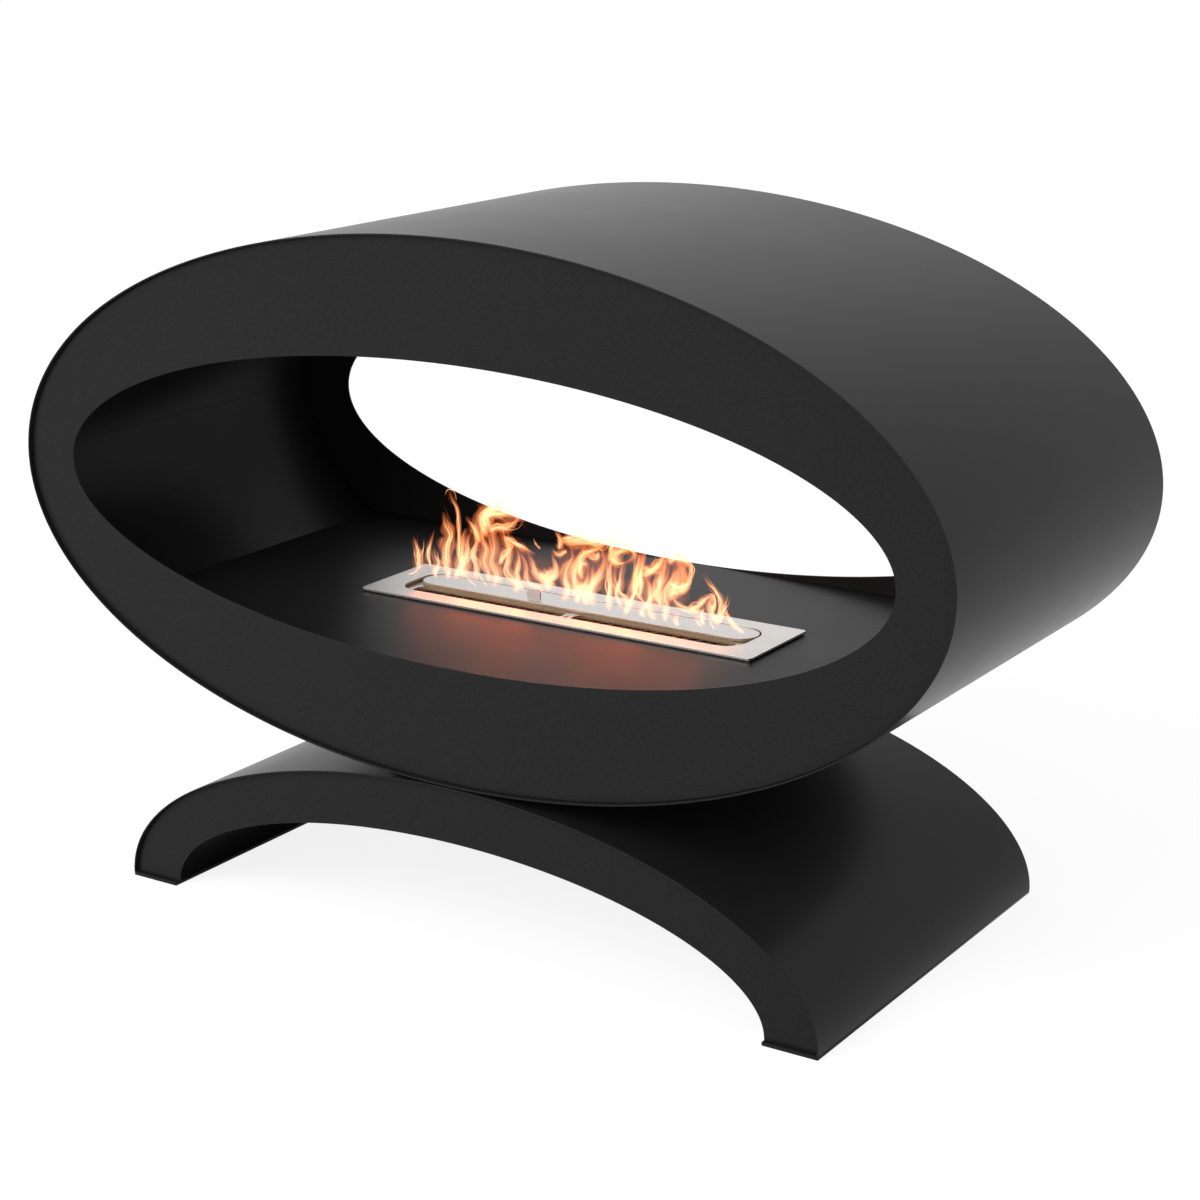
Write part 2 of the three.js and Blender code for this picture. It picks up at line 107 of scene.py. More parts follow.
class HearthSizes(bpy.types.PropertyGroup):
    """Sizes that the solids' boxes don't hold."""

    sheet: length("Sheet", "Thickness of the rolled sheets", 1.5)
    opening: length("Opening", "Width of the oval opening", 800)
    sheet_edge: length("Sheet edge", "Radius on the coated sheets' edges", 0.4)
    face_edge: length("Face edge", "Radius on the face plates' edges", 0.55)
    steel_edge: length("Stainless edge", "Radius on the stainless plates' edges", 0.25)
    oval_steps: count("Oval steps", "Facets round a full oval", 512)
    corner_steps: count("Corner steps", "Facets in a quarter of a plate's round corner", 12)
    edge_steps: count("Edge steps", "Facets across the radius on an edge", 3)


class BurnerSizes(bpy.types.PropertyGroup):
    """Sizes of the burner's windows, slots and net."""

    plate_corner: length("Plate corner", "Radius of the burner plate's corners", 3)
    plate_rebate_width: length(
        "Rebate width", "How far the plate's foot is cut back under its edge", 2)
    plate_rebate_height: length(
        "Rebate height", "Height of that cut, a shadow line over the floor", 0.9)
    window_length: length("Window length", "Length of the window in the plate", 350)
    window_width: length("Window width", "Width of the window in the plate", 60)
    window_corner: length("Window corner", "Radius of the window's corners", 20)
    deck_sheet: length("Deck sheet", "Thickness of the deck", 1.5)
    deck_corner: length("Deck corner", "Radius of the deck's corners", 8)
    slot_length: length("Slot length", "Length of each slot", 160)
    slot_width: length("Slot width", "Width of each slot", 24)
    slot_bridge: length("Bridge", "Deck left between the two slots", 10)
    slot_rim: length("Rim", "Thickness of a slot's rim", 1)
    net_pitch: length("Net pitch", "Length of one diamond of the net", 11)
    net_strand: length("Net strand", "Width of the net's strands", 1.7)
    lug_corner: length("Lug corner", "Radius of the shutter lug's corners", 2)


class HearthColours(bpy.types.PropertyGroup):
    """The finishes' colours, as sRGB hex."""

    coat: hex_colour("Coat", "Satin black powder coat", "222223")
    coat_high: hex_colour("Coat, lighter", "Lighter grain of the coat", "29292B")
    # Painted shade: the underside's black is darker than the coat's, standing for the shade under the
    # arch
    underside_shade: hex_colour("Primer", "Matt black primer", "0E0E0E")
    stainless: hex_colour("Stainless", "Blasted stainless steel", "E6E2DE")
    stainless_dark: hex_colour("Stainless, darker", "Darker flecks", "CFCAC5")
    # Painted light: straw and its darker fleck stand for the warm light that the flames throw on the
    # burner's upright walls
    painted_glow_straw: hex_colour("Straw", "Stainless steel where flames lick it", "D2B694")
    painted_glow_straw_dark: hex_colour("Straw, darker", "Darker flecks there", "A88B6E")
    net: hex_colour("Net", "Heat-tinted net", "B48E6C")
    net_dark: hex_colour("Net, darker", "Blued stretches of the net", "6A452E")
    wool: hex_colour("Wool", "Ceramic wool", "5A4030")
    # Painted shade: the darker wool colour is laid in the hollows of the wool's bump
    wool_hollow_shade: hex_colour("Wool, darker", "Hollows of the wool", "2E1E14")
    zinc: hex_colour("Zinc", "Zinc-plated steel", "B4B8BA")
    fibre: hex_colour("Fibre", "Pressed fibre", "6D6A64")
    glow: hex_colour("Glow", "The light that the flames throw", "FF5C1E")
    flame_foot: hex_colour("Flame, foot", "Flame close to the slots", "FFC4A4")
    flame_low: hex_colour("Flame, thin", "Thin, cool flame", "FF6A30")
    flame_body: hex_colour("Flame, body", "The body of the flame", "FF8E56")
    flame_middle: hex_colour("Flame, middle", "Fuller flame", "FFB070")
    flame_high: hex_colour("Flame, core", "Hottest flame", "FFD8A4")


class StageSettings(bpy.types.PropertyGroup):
    """The light and the camera."""

    ambient: bpy.props.FloatProperty(
        name="Ambient", description="Light from all round on dull surfaces", default=0.45)
    lamp: bpy.props.FloatProperty(
        name="Lamp", description="Power of the large soft lamp", default=90.0, unit="POWER")
    glow: bpy.props.FloatProperty(
        name="Glow", description="Power of the strongest of the flames' lamps", default=0.023,
        unit="POWER")
    lens: bpy.props.FloatProperty(
        name="Lens", description="Focal length on a 36 mm sensor, in millimetres", default=77.39)


def settings(name):
    """One of the scene's property groups."""
    return getattr(bpy.context.scene, name)


# ---------------------------------------------------------------- curves and sections

LEAST_CORNER = 0.05  # millimetres; the tightest corner that a curve moved inwards keeps
FLAT_RING = 1.5  # radii from a slab's edge to the ring that keeps its face flat in smooth shading


def oval_curve(oval, angles, inset):
    """Points of the curve that runs inside an oval at an even distance.

    Formula: the oval's point at an angle, less the inset along the oval's unit normal there.
    """
    normal_x = oval.half_height * np.cos(angles)
    normal_z = oval.half_width * np.sin(angles)
    size = np.hypot(normal_x, normal_z)
    x = oval.half_width * np.cos(angles) - inset * normal_x / size
    z = oval.centre + oval.half_height * np.sin(angles) - inset * normal_z / size
    return np.stack([x, z], axis=-1)


def rounded_loop(low, high, radius, steps, guard=0.0):
    """A closed rectangle with round corners, counter-clockwise from its right-hand side.

    Formula: in each corner a quarter circle about a centre one radius in from both sides.
    A guard adds a point that far along the straight side before and after each quarter, which
    keeps the sides flat when the surface is shaded smooth. The radius may be one for each corner.
    """
    radii = np.broadcast_to(np.asarray(radius, float), (4,))[:, None]
    centre_x = np.array([high[0], low[0], low[0], high[0]])[:, None] + radii * [[-1], [1], [1], [-1]]
    centre_y = np.array([high[1], high[1], low[1], low[1]])[:, None] + radii * [[-1], [-1], [1], [1]]
    turn = np.arange(4)[:, None] * np.pi / 2 + np.linspace(0, np.pi / 2, steps + 1)[None, :]
    corners = np.stack([centre_x + radii * np.cos(turn), centre_y + radii * np.sin(turn)], axis=-1)
    if guard:
        straight = guard * np.stack([np.sin(turn), -np.cos(turn)], axis=-1)
        before = corners[:, :1] + straight[:, :1]
        after = corners[:, -1:] - straight[:, -1:]
        corners = np.hstack([before, corners, after])
    return corners.reshape(-1, 2)


def outline(size, corner, steps, centre=(0, 0)):
    """A rounded rectangle as a function of how far its curve is moved inwards."""

    def at(offset):
        half = np.array(size) / 2 - offset
        middle = np.array(centre)
        return rounded_loop(middle - half, middle + half, max(corner - offset, LEAST_CORNER), steps)

    return at


def at_level(curve, level):
    """A flat curve's points with their level, which is one for all or one for each."""
    return np.column_stack([curve, np.broadcast_to(level, len(curve))])


def band(outer, inner, low, high, radius, steps, rebate=(0, 0)):
    """A strip between two curves with round edges, as rings round its section.

    Formula: the section is a rounded rectangle; each of its points keeps its distance from the
    nearer curve, and its level between low and high. Both curves are functions of an offset
    into the material. A rebate cuts back the outer edge's foot by a width and a height.
    """
    guard = radius / 2
    back, rise = rebate
    width = 4 * (radius + guard) + 3 * back
    section = rounded_loop((0, low), (width, high), radius, steps, guard)
    if rise:
        corner = len(section) // 4
        raised = rounded_loop((0, low + rise), (width, high), radius, steps, guard)
        step = [[back - guard, low + rise], [back, low + rise], [back, low + rise - guard],
                [back, low + guard], [back, low], [back + guard, low]]
        section = np.vstack([raised[:3 * corner], step, section[3 * corner:]])
    columns = []
    for across, level in section:
        curve = outer(across) if across < width / 2 else inner(width - across)
        columns.append(at_level(curve, level))
    return np.stack(columns, axis=1)


def slab(curve, low, high, radius, steps, foot_radius=None):
    """A plate inside one curve, as rings from the middle of its under side to that of its top.

    Formula: the curve moved in by a quarter circle's sine as the level passes each edge. The
    lower edge may have a radius of its own.
    """
    foot = foot_radius or radius
    turn = np.linspace(0, np.pi / 2, steps + 1)
    inset = 1 - np.sin(turn)
    rise = 1 - np.cos(turn)
    insets = [FLAT_RING * foot, *(foot * inset), *(radius * inset[::-1]), FLAT_RING * radius]
    levels = [low, *(low + foot * rise), *(high - radius * rise[::-1]), high]
    return np.stack([at_level(curve(i), level) for i, level in zip(insets, levels)])


def upright(points):
    """Points given as across, up and depth, turned to x, y, z with the depth along Y."""
    return points[..., [0, 2, 1]]


# ---------------------------------------------------------------- meshes


def grid_faces(rows, columns, closed):
    """The quads of a grid whose columns close into rings, and its rows too if closed."""
    row, column = np.meshgrid(
        np.arange(rows if closed else rows - 1), np.arange(columns), indexing="ij")
    here = row * columns
    below = (row + 1) % rows * columns
    beside = (column + 1) % columns
    corners = [here + column, here + beside, below + beside, below + column]
    return np.stack(corners, axis=-1).reshape(-1, 4)


def enclosed(vertices, quads, caps):
    """Six times the volume that faces enclose, which is below nought if they face inwards."""
    a, b, c, d = (vertices[quads[:, i]] for i in range(4))
    volume = np.sum(a * (np.cross(b, c) + np.cross(c, d)))
    for cap in caps:
        fan = vertices[cap]
        volume += np.sum(fan[0] * np.cross(fan[1:-1], fan[2:]))
    return volume


def surface(points, closed=False):
    """Vertices, quads and end caps of a grid of points in millimetres, all facing outwards."""
    rows, columns = points.shape[:2]
    vertices = points.reshape(-1, 3)
    quads = grid_faces(rows, columns, closed)
    end = np.arange(columns)
    caps = [] if closed else [end[::-1], (rows - 1) * columns + end]
    if enclosed(vertices, quads, caps) <= 0:
        quads = quads[:, ::-1]
        caps = [cap[::-1] for cap in caps]
    return vertices, quads, caps


def add_piece(name, surfaces, material, body, slot, *replaced):
    """One object made of closed surfaces. It rides on a body and may stand for solids."""
    vertices, faces, start = [], [], 0
    for points, quads, caps in surfaces:
        vertices.append(points * MM)
        faces += (quads + start).tolist() + [(cap + start).tolist() for cap in caps]
        start += len(points)
    mesh = bpy.data.meshes.new(name)
    mesh.from_pydata(np.concatenate(vertices).tolist(), [], faces)
    mesh.polygons.foreach_set("use_smooth", np.ones(len(mesh.polygons), dtype=bool))
    mesh.materials.append(material)
    mesh.validate()
    piece = bpy.data.objects.new(name, mesh)
    bpy.context.scene.collection.objects.link(piece)
    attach(piece, body)
    if replaced:
        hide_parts(*replaced)
    return piece


def merge_vertices(piece, distance):
    """Makes one vertex of those closer than a distance in millimetres."""
    work = bmesh.new()
    work.from_mesh(piece.data)
    bmesh.ops.remove_doubles(work, verts=work.verts, dist=distance * MM)
    work.to_mesh(piece.data)
    work.free()


def finish_solid(node, material):
    """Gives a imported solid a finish, and leaves its mesh as it is."""
    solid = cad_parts[node]
    solid.data.materials.clear()
    solid.data.materials.append(material)


# ---------------------------------------------------------------- materials


def linear(code):
    """An sRGB hex colour as linear red, green, blue and an alpha of one."""
    values = np.array([int(code[i:i + 2], 16) for i in (0, 2, 4)]) / 255
    low = values / 12.92
    high = ((values + 0.055) / 1.055) ** 2.4
    return (*np.where(values <= 0.04045, low, high).tolist(), 1.0)


def paint(name):
    """One of the user's colours, made linear."""
    return linear(getattr(settings("hearth_colours"), name))


def add_node(material, kind, inputs=None, stops=(), **options):
    """Adds a node and returns its outputs.

    Its inputs are numbers, colours or other nodes' sockets, by name or place. The stops of a
    colour ramp are pairs of a position and a colour.
    """
    node = material.node_tree.nodes.new("ShaderNode" + kind)
    for number, (position, colour) in enumerate(stops):
        elements = node.color_ramp.elements
        element = elements[number] if number < len(elements) else elements.new(position)
        element.position = position
        element.color = colour
    for option, value in options.items():
        setattr(node, option, value)
    for socket, value in (inputs or {}).items():
        if isinstance(value, bpy.types.NodeSocket):
            material.node_tree.links.new(value, node.inputs[socket])
        else:
            node.inputs[socket].default_value = value
    return node.outputs


def new_material(name):
    """An empty node material, in place of one that has its name."""
    material = bpy.data.materials.get(name)
    if material:
        bpy.data.materials.remove(material)
    material = bpy.data.materials.new(name)
    material.use_nodes = True
    material.node_tree.nodes.clear()
    return material


def per_mm(size):
    """The texture scale, in cycles per metre, of a pattern of that size in millimetres."""
    return 1 / (size * MM)


def grained(name, grain, colours, fixed, places=(0.35, 0.75), detail=2.0, bump=None, sheen=None):
    """A finish whose colour and bump follow one fine grain, of a size in millimetres.

    There are two colours, which the grain reaches at two places of its range, or one. Inputs
    that are fixed are the same all over. A bump is its strength and its depth, and a cloudy
    sheen is the clouds' size and the roughness at their low and high ends.
    """
    finish = new_material(name)
    place = add_node(finish, "TexCoord")["Object"]
    noise = {"Vector": place, "Scale": per_mm(grain), "Detail": detail}
    height = add_node(finish, "TexNoise", noise)["Fac"]
    inputs = {"Base Color": paint(colours[0]), **fixed}
    if len(colours) > 1:
        stops = [(stop, paint(colour)) for stop, colour in zip(places, colours)]
        inputs["Base Color"] = add_node(finish, "ValToRGB", {"Fac": height}, stops)["Color"]
    if sheen:
        size, smooth, dull = sheen
        noise = {"Vector": place, "Scale": per_mm(size), "Detail": 3.0}
        inputs["Roughness"] = add_node(finish, "MapRange", {
            "Value": add_node(finish, "TexNoise", noise)["Fac"], "From Min": 0.3,
            "From Max": 0.7, "To Min": smooth, "To Max": dull})["Result"]
    if bump:
        strength, depth = bump
        inputs["Normal"] = add_node(finish, "Bump", {
            "Height": height, "Strength": strength, "Distance": depth * MM})["Normal"]
    shader = add_node(finish, "BsdfPrincipled", inputs)
    add_node(finish, "OutputMaterial", {"Surface": shader["BSDF"]})
    return finish


def powder_coat():
    """Polyester powder coat on mild steel, satin black, sprayed and baked.

    The powder flows out to a fine orange peel of about 1.5 mm, which breaks up the sheen, and
    its grains leave a faint lighter fleck.
    """
    return grained(
        "powder_coated_steel_satin_black", 1.5, ("coat", "coat_high"),
        {"Specular IOR Level": 0.075}, bump=(0.05, 0.1), sheen=(90, 0.29, 0.31))


def shaded_underside_black():
    """Matt black under the base, darker than the coat: the darker colour is painted shade under the
    arch.

    It has hardly any sheen, so it doesn't mirror the pale floor, and a dry grain of 0.7 mm.
    """
    return grained(
        "matt_black_painted_shade", 0.7, ("underside_shade", "coat"),
        {"Roughness": 0.8, "Specular IOR Level": 0.01}, bump=(0.2, 0.05))


def floor_paint():
    """Heat-resistant black paint on the body's floor sheet, a little duller than the coat.

    It is sprayed thin, so it shows a finer peel of 1 mm.
    """
    return grained(
        "heat_resistant_paint_black", 1, ("coat", "coat_high"),
        {"Specular IOR Level": 0.076}, bump=(0.04, 0.08), sheen=(60, 0.35, 0.37))


def coarse_steel():
    """Stainless steel of the shutter's lug, blasted coarser than the plates.

    It mirrors nothing and looks pale and even, with a fleck of 0.8 mm.
    """
    return grained(
        "stainless_steel_coarse_blasted", 0.8, ("stainless_dark", "stainless"),
        {"Metallic": 0.35, "Roughness": 0.55}, (0.34, 0.66), 3.0, bump=(0.2, 0.1))


def net_steel():
    """Expanded stainless net, tinted straw and brown by the fire.

    The tint changes every 6 mm or so, from straw to a dark blued brown.
    """
    return grained(
        "expanded_stainless_heat_tinted", 6, ("net_dark", "net"),
        {"Metallic": 0.3, "Roughness": 0.5}, (0.35, 0.65), 3.0)


def ceramic_wool():
    """Ceramic fibre block, dull and buff from the fuel.

    Its fibres lie in mats of about 2 mm, which give a soft, woolly mottle; its darker colour falls in
    the hollows of the bump, as painted shade.
    """
    # The ramp's dark end follows the bump's low places: painted shade in the hollows
    return grained(
        "ceramic_fibre_block", 2, ("wool_hollow_shade", "wool"), {"Roughness": 0.95},
        (0.0, 1.0), 5.0, bump=(0.6, 0.8))


def pressed_fibre():
    """Grey pressed fibre of the spacers, dull with a 1 mm mottle."""
    return grained(
        "pressed_fibre", 1, ["fibre"], {"Roughness": 0.9}, detail=3.0,
        bump=(0.4, 0.2))


def zinc_plate():
    """Zinc-plated steel of the bolts, nuts and washers, bright with a soft spangle of 2 mm."""
    zinc = new_material("zinc_plated_steel")
    place = add_node(zinc, "TexCoord")["Object"]
    spangle = add_node(zinc, "TexVoronoi", {"Vector": place, "Scale": per_mm(2)})["Distance"]
    rough = add_node(zinc, "MapRange", {"Value": spangle, "To Min": 0.3, "To Max": 0.5})["Result"]
    shader = add_node(zinc, "BsdfPrincipled", {
        "Base Color": paint("zinc"), "Metallic": 1.0,
        "Roughness": rough})
    add_node(zinc, "OutputMaterial", {"Surface": shader["BSDF"]})
    return zinc


TOP_SKIN = 0.15  # millimetres from a flat top down to where the painted glow of the flames on its walls begins
PAINTED_GLOW_PAST = 0.5  # millimetres past the window's walls to which that painted glow reaches


def stainless_steel():
    """Stainless steel sheet, brushed along the burner and then blasted with fine glass bead.

    The blasting leaves a grey fleck, drawn at 1.2 mm so that it shows, over what is left of
    the brush lines, and it breaks up the reflections to a soft pale sheen. On the upright
    walls round the slots and in the window a dull straw colour is painted: painted light that
    stands for the warm light of the flames on them.
    """
    burner = settings("burner_sizes")
    steel = new_material("stainless_steel_bead_blasted")
    place = add_node(steel, "TexCoord")["Object"]
    brushed = add_node(steel, "Mapping", {"Vector": place, "Scale": (0.04, 1.0, 1.0)})["Vector"]
    lines = add_node(steel, "TexNoise", {"Vector": brushed, "Scale": per_mm(0.9), "Detail": 2.0})
    fleck = add_node(steel, "TexNoise", {"Vector": place, "Scale": per_mm(1.2), "Detail": 3.0})
    both = add_node(steel, "Mix", {0: 0.75, 2: lines["Fac"], 3: fleck["Fac"]}, data_type="FLOAT")[0]
    bright = add_node(steel, "ValToRGB", {"Fac": both}, [
        (0.34, paint("stainless_dark")), (0.66, paint("stainless"))])
    painted_glow_straw = add_node(steel, "ValToRGB", {"Fac": both}, [
        (0.3, paint("painted_glow_straw_dark")), (0.7, paint("painted_glow_straw"))])

    # Painted flame light: a mask of the upright walls inside the window, below the shutter's top,
    # where the straw colour goes
    spot = add_node(steel, "SeparateXYZ", {"Vector": place})
    low, high = DECK_LOW[2], SHUTTER_HIGH[2] - TOP_SKIN
    reaches = (
        ("X", 0, burner.window_length / 2 + PAINTED_GLOW_PAST * MM),
        ("Y", 0, burner.window_width / 2 + PAINTED_GLOW_PAST * MM),
        ("Z", (low + high) / 2 * MM, (high - low) / 2 * MM))
    painted_glow_mask = 1.0
    for axis, middle, half in reaches:
        reach = {0: spot[axis], 1: middle, 2: half}
        within = add_node(steel, "Math", reach, operation="COMPARE")[0]
        painted_glow_mask = add_node(steel, "Math", {0: painted_glow_mask, 1: within}, operation="MULTIPLY")[0]
    level = {0: spot["Z"], 1: DECK_HIGH[2] * MM, 2: TOP_SKIN * MM}
    flat = add_node(steel, "Math", level, operation="COMPARE")[0]
    walls = {0: painted_glow_mask, 1: flat}
    painted_glow_mask = add_node(steel, "Math", walls, operation="SUBTRACT", use_clamp=True)[0]

    # Where that mask is one, the steel is painted straw, duller and less metallic, standing for the
    # flames' light on it
    colour = add_node(steel, "Mix", {
        0: painted_glow_mask, 6: bright["Color"], 7: painted_glow_straw["Color"]}, data_type="RGBA")[2]
    metal = add_node(steel, "MapRange", {"Value": painted_glow_mask, "To Min": 1.0, "To Max": 0.25})["Result"]
    polish = add_node(steel, "MapRange", {
        "Value": both, "From Min": 0.3, "From Max": 0.7, "To Min": 0.38, "To Max": 0.3})["Result"]
    rough = add_node(steel, "Mix", {0: painted_glow_mask, 2: polish, 3: 0.6}, data_type="FLOAT")[0]
    bump = add_node(steel, "Bump", {
        "Height": fleck["Fac"], "Strength": 0.12, "Distance": 0.05 * MM})["Normal"]
    shader = add_node(steel, "BsdfPrincipled", {
        "Base Color": colour, "Metallic": metal, "Roughness": rough, "Normal": bump})
    add_node(steel, "OutputMaterial", {"Surface": shader["BSDF"]})
    return steel


FLAME_SOLID = 0.22  # how much of what lies behind it one side of the fullest flame hides
FLAME_LIGHT = 3.2  # strength of its own light, so that such thin gas still shows
STREAK_WIDE = 1.8  # millimetres across a streak
STREAK_LONG = 26.0  # millimetres along a streak
PALE_HEIGHT = 45.0  # millimetres above the burner's plate up to which the flame is paler


def flame():
    """Burning ethanol, a thin sheet of hot gas with no surface of its own.

    It is soft at its sides and bright along one fold, streaked along its length, clear at the
    foot, pale pink low down and orange where it thins out above. It adds light and hides little.
    """
    fire = new_material("ethanol_flame")
    across, along, seed, glow, wide, run = (
        add_node(fire, "Attribute", attribute_name=name)["Fac"]
        for name in ("across", "along", "seed", "glow", "wide", "run"))
    place = add_node(fire, "CombineXYZ", {"X": wide, "Y": run, "Z": seed})["Vector"]
    scale = (1 / STREAK_WIDE, 1 / STREAK_LONG, 10.0)
    streaks = add_node(fire, "TexNoise", {
        "Vector": add_node(fire, "Mapping", {"Vector": place, "Scale": scale})["Vector"],
        "Scale": 1.0, "Detail": 2.0, "Distortion": 0.4})["Fac"]
    middle = add_node(fire, "Math", {0: across}, operation="ABSOLUTE")[0]
    ramps = {
        "soft": (middle, 0.25, 1.0, 1.0, 0.0),
        "streak": (streaks, 0.4, 0.66, 0.52, 1.0),
        "fold": (across, 0.35, 0.62, 0.0, 1.0),
        "foot": (along, 0.0, 0.14, 0.0, 1.0),
        "tip": (along, 0.5, 1.0, 1.0, 0.2),
    }
    share = {}
    for name, (value, start, end, first, last) in ramps.items():
        share[name] = add_node(fire, "MapRange", {
            "Value": value, "From Min": start, "From Max": end, "To Min": first, "To Max": last},
            interpolation_type="SMOOTHSTEP")["Result"]
    folds = {0: share["fold"], 1: share["streak"]}
    heat = add_node(fire, "Math", folds, operation="MAXIMUM")[0]
    for part in (share["soft"], share["foot"], share["tip"], glow):
        heat = add_node(fire, "Math", {0: heat, 1: part}, operation="MULTIPLY")[0]
    height = add_node(fire, "SeparateXYZ", {"Vector": add_node(fire, "TexCoord")["Object"]})["Z"]
    pale = add_node(fire, "MapRange", {
        "Value": height, "From Min": PLATE_HIGH[2] * MM,
        "From Max": (PLATE_HIGH[2] + PALE_HEIGHT) * MM, "To Min": 0.6, "To Max": 0.0})["Result"]
    colour = add_node(fire, "ValToRGB", {"Fac": heat}, [
        (0.04, paint("flame_low")), (0.22, paint("flame_body")),
        (0.55, paint("flame_middle")), (0.95, paint("flame_high"))])["Color"]
    tinted = add_node(fire, "Mix", {
        0: pale, 6: colour, 7: paint("flame_foot")}, data_type="RGBA")[2]
    solid = add_node(fire, "Math", {0: heat, 1: FLAME_SOLID}, operation="MULTIPLY")[0]
    shader = add_node(fire, "BsdfPrincipled", {
        "Base Color": (0, 0, 0, 1), "Specular IOR Level": 0.0, "Roughness": 1.0,
        "Emission Color": tinted, "Emission Strength": FLAME_LIGHT, "Alpha": solid})
    add_node(fire, "OutputMaterial", {"Surface": shader["BSDF"]})
    fire.cycles.emission_sampling = "NONE"
    return fire


MADE = {}  # the finishes made so far, by the names of the functions that make them


def material_of(make):
    """The finish that a function makes, made once."""
    if make.__name__ not in MADE:
        MADE[make.__name__] = make()
    return MADE[make.__name__]


# ---------------------------------------------------------------- the hearth's steel

SEAM_GAP = 0.06  # drawn closer than the solids' gap, because the halves are welded edge to edge
WELD_GAP = 0.05  # and the same between a plate's rim and the sheet rolled round it
END_GUARD = 0.001  # radians; the short last step of a rolled sheet, which keeps its end crisp
FOOT_CORNER = 1.0  # radius of a foot plate's corners
FOOT_STEPS = 3  # facets in each of them


def rolled_angles(first, last, steps):
    """Evenly spaced angles with one more just inside each end."""
    inner = np.linspace(first, last, steps + 1)[1:-1]
    return np.concatenate([[first, first + END_GUARD], inner, [last - END_GUARD, last]])


def oval_sheet(outer, inner, angles, box, edge, closed=False):
    """A sheet between two ovals, each given with its inset, as deep along Y as a solid's box."""
    low, high = box
    points = band(
        lambda offset: oval_curve(outer[0], angles, outer[1] + offset),
        lambda offset: oval_curve(inner[0], angles, inner[1] - offset),
        low[1], high[1], edge, settings("hearth_sizes").edge_steps)
    return surface(upright(points), closed)


class HEARTH_OT_shell(bpy.types.Operator):
    """Rolls the two halves of the body's shell"""

    bl_idname = "hearth.shell"
    bl_label = "Shell"

    def execute(self, context):
        sizes = settings("hearth_sizes")
        coat = material_of(powder_coat)
        thick = sizes.sheet / MM
        edge = sizes.sheet_edge / MM
        seam = math.asin(SEAM_GAP / 2 / BODY.half_height)
        for node, first in {"shell_upper": 0, "shell_lower": math.pi}.items():
            angles = rolled_angles(first + seam, first + math.pi - seam, sizes.oval_steps // 2)
            sheet = oval_sheet((BODY, 0), (BODY, thick), angles, box_mm(node), edge)
            add_piece(f"{node}_rolled", [sheet], coat, "hearth", "coated_steel", node)
        return {"FINISHED"}


class HEARTH_OT_faces(bpy.types.Operator):
    """Cuts the front and rear plates with their oval openings"""

    bl_idname = "hearth.faces"
    bl_label = "Face plates"

    def execute(self, context):
        sizes = settings("hearth_sizes")
        coat = material_of(powder_coat)
        angles = np.linspace(0, 2 * np.pi, sizes.oval_steps, endpoint=False)
        rim = (BODY, sizes.sheet / MM + WELD_GAP)
        opening = (Oval(sizes.opening / MM / 2, BODY.centre - FLOOR_TOP, BODY.centre), 0)
        for node in ("front_face", "rear_face"):
            plate = oval_sheet(rim, opening, angles, box_mm(node), sizes.face_edge / MM, closed=True)
            add_piece(f"{node}_plate", [plate], coat, "hearth", "coated_steel", node)
        return {"FINISHED"}


class HEARTH_OT_floor(bpy.types.Operator):
    """Coats the body's floor and the brackets under it"""

    bl_idname = "hearth.floor"
    bl_label = "Floor"

    def execute(self, context):
        finish_solid("floor_plate", material_of(floor_paint))
        for node in ("floor_bracket_left", "floor_bracket_right"):
            finish_solid(node, material_of(powder_coat))
        return {"FINISHED"}


class HEARTH_OT_base(bpy.types.Operator):
    """Rolls the base's two skins, and cuts its end plates and its feet"""

    bl_idname = "hearth.base"
    bl_label = "Base"

    def execute(self, context):
        sizes = settings("hearth_sizes")
        coat = material_of(powder_coat)
        thick = sizes.sheet / MM
        edge = sizes.sheet_edge / MM
        low, high = box_mm("base_underside_skin")
        under = Oval(high[0] - thick, high[2] - low[2] - thick, low[2])
        angles = rolled_angles(0, math.pi, sizes.oval_steps // 2)
        end = ("cut", (ARCH, thick + WELD_GAP), (under, 0), coat)
        sheets = {
            "base_top_skin": ("rolled", (ARCH, 0), (ARCH, thick), coat),
            # The underside skin is drawn darker than the coat, as painted shade under the arch
            "base_underside_skin": (
                "rolled", (under, -thick), (under, 0), material_of(shaded_underside_black)),
            "base_front_plate": end,
            "base_rear_plate": end,
        }
        for node, (made, outer, inner, finish) in sheets.items():
            sheet = oval_sheet(outer, inner, angles, box_mm(node), edge)
            add_piece(f"{node}_{made}", [sheet], finish, "hearth", "coated_steel", node)

        for node in ("foot_plate_left", "foot_plate_right"):
            low, high = box_mm(node)
            middle = (low + high) / 2
            curve = outline((high - low)[:2], FOOT_CORNER, FOOT_STEPS, middle[:2])
            foot = surface(slab(curve, low[2], high[2], edge, sizes.edge_steps))
            add_piece(f"{node}_cut", [foot], coat, "hearth", "coated_steel", node)
        return {"FINISHED"}


class HEARTH_OT_joint(bpy.types.Operator):
    """Finishes the rails, plates and bolts that join the body to the base"""

    bl_idname = "hearth.joint"
    bl_label = "Joint"

    def execute(self, context):
        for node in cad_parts:
            if node.startswith("joint_spacer"):
                finish_solid(node, material_of(pressed_fibre))
            elif node.startswith("joint_"):
                finish_solid(node, material_of(zinc_plate))
            elif node.startswith("saddle_rail") or node in ("body_doubler_plate", "base_nut_plate"):
                finish_solid(node, material_of(powder_coat))
        return {"FINISHED"}


# ---------------------------------------------------------------- the burner

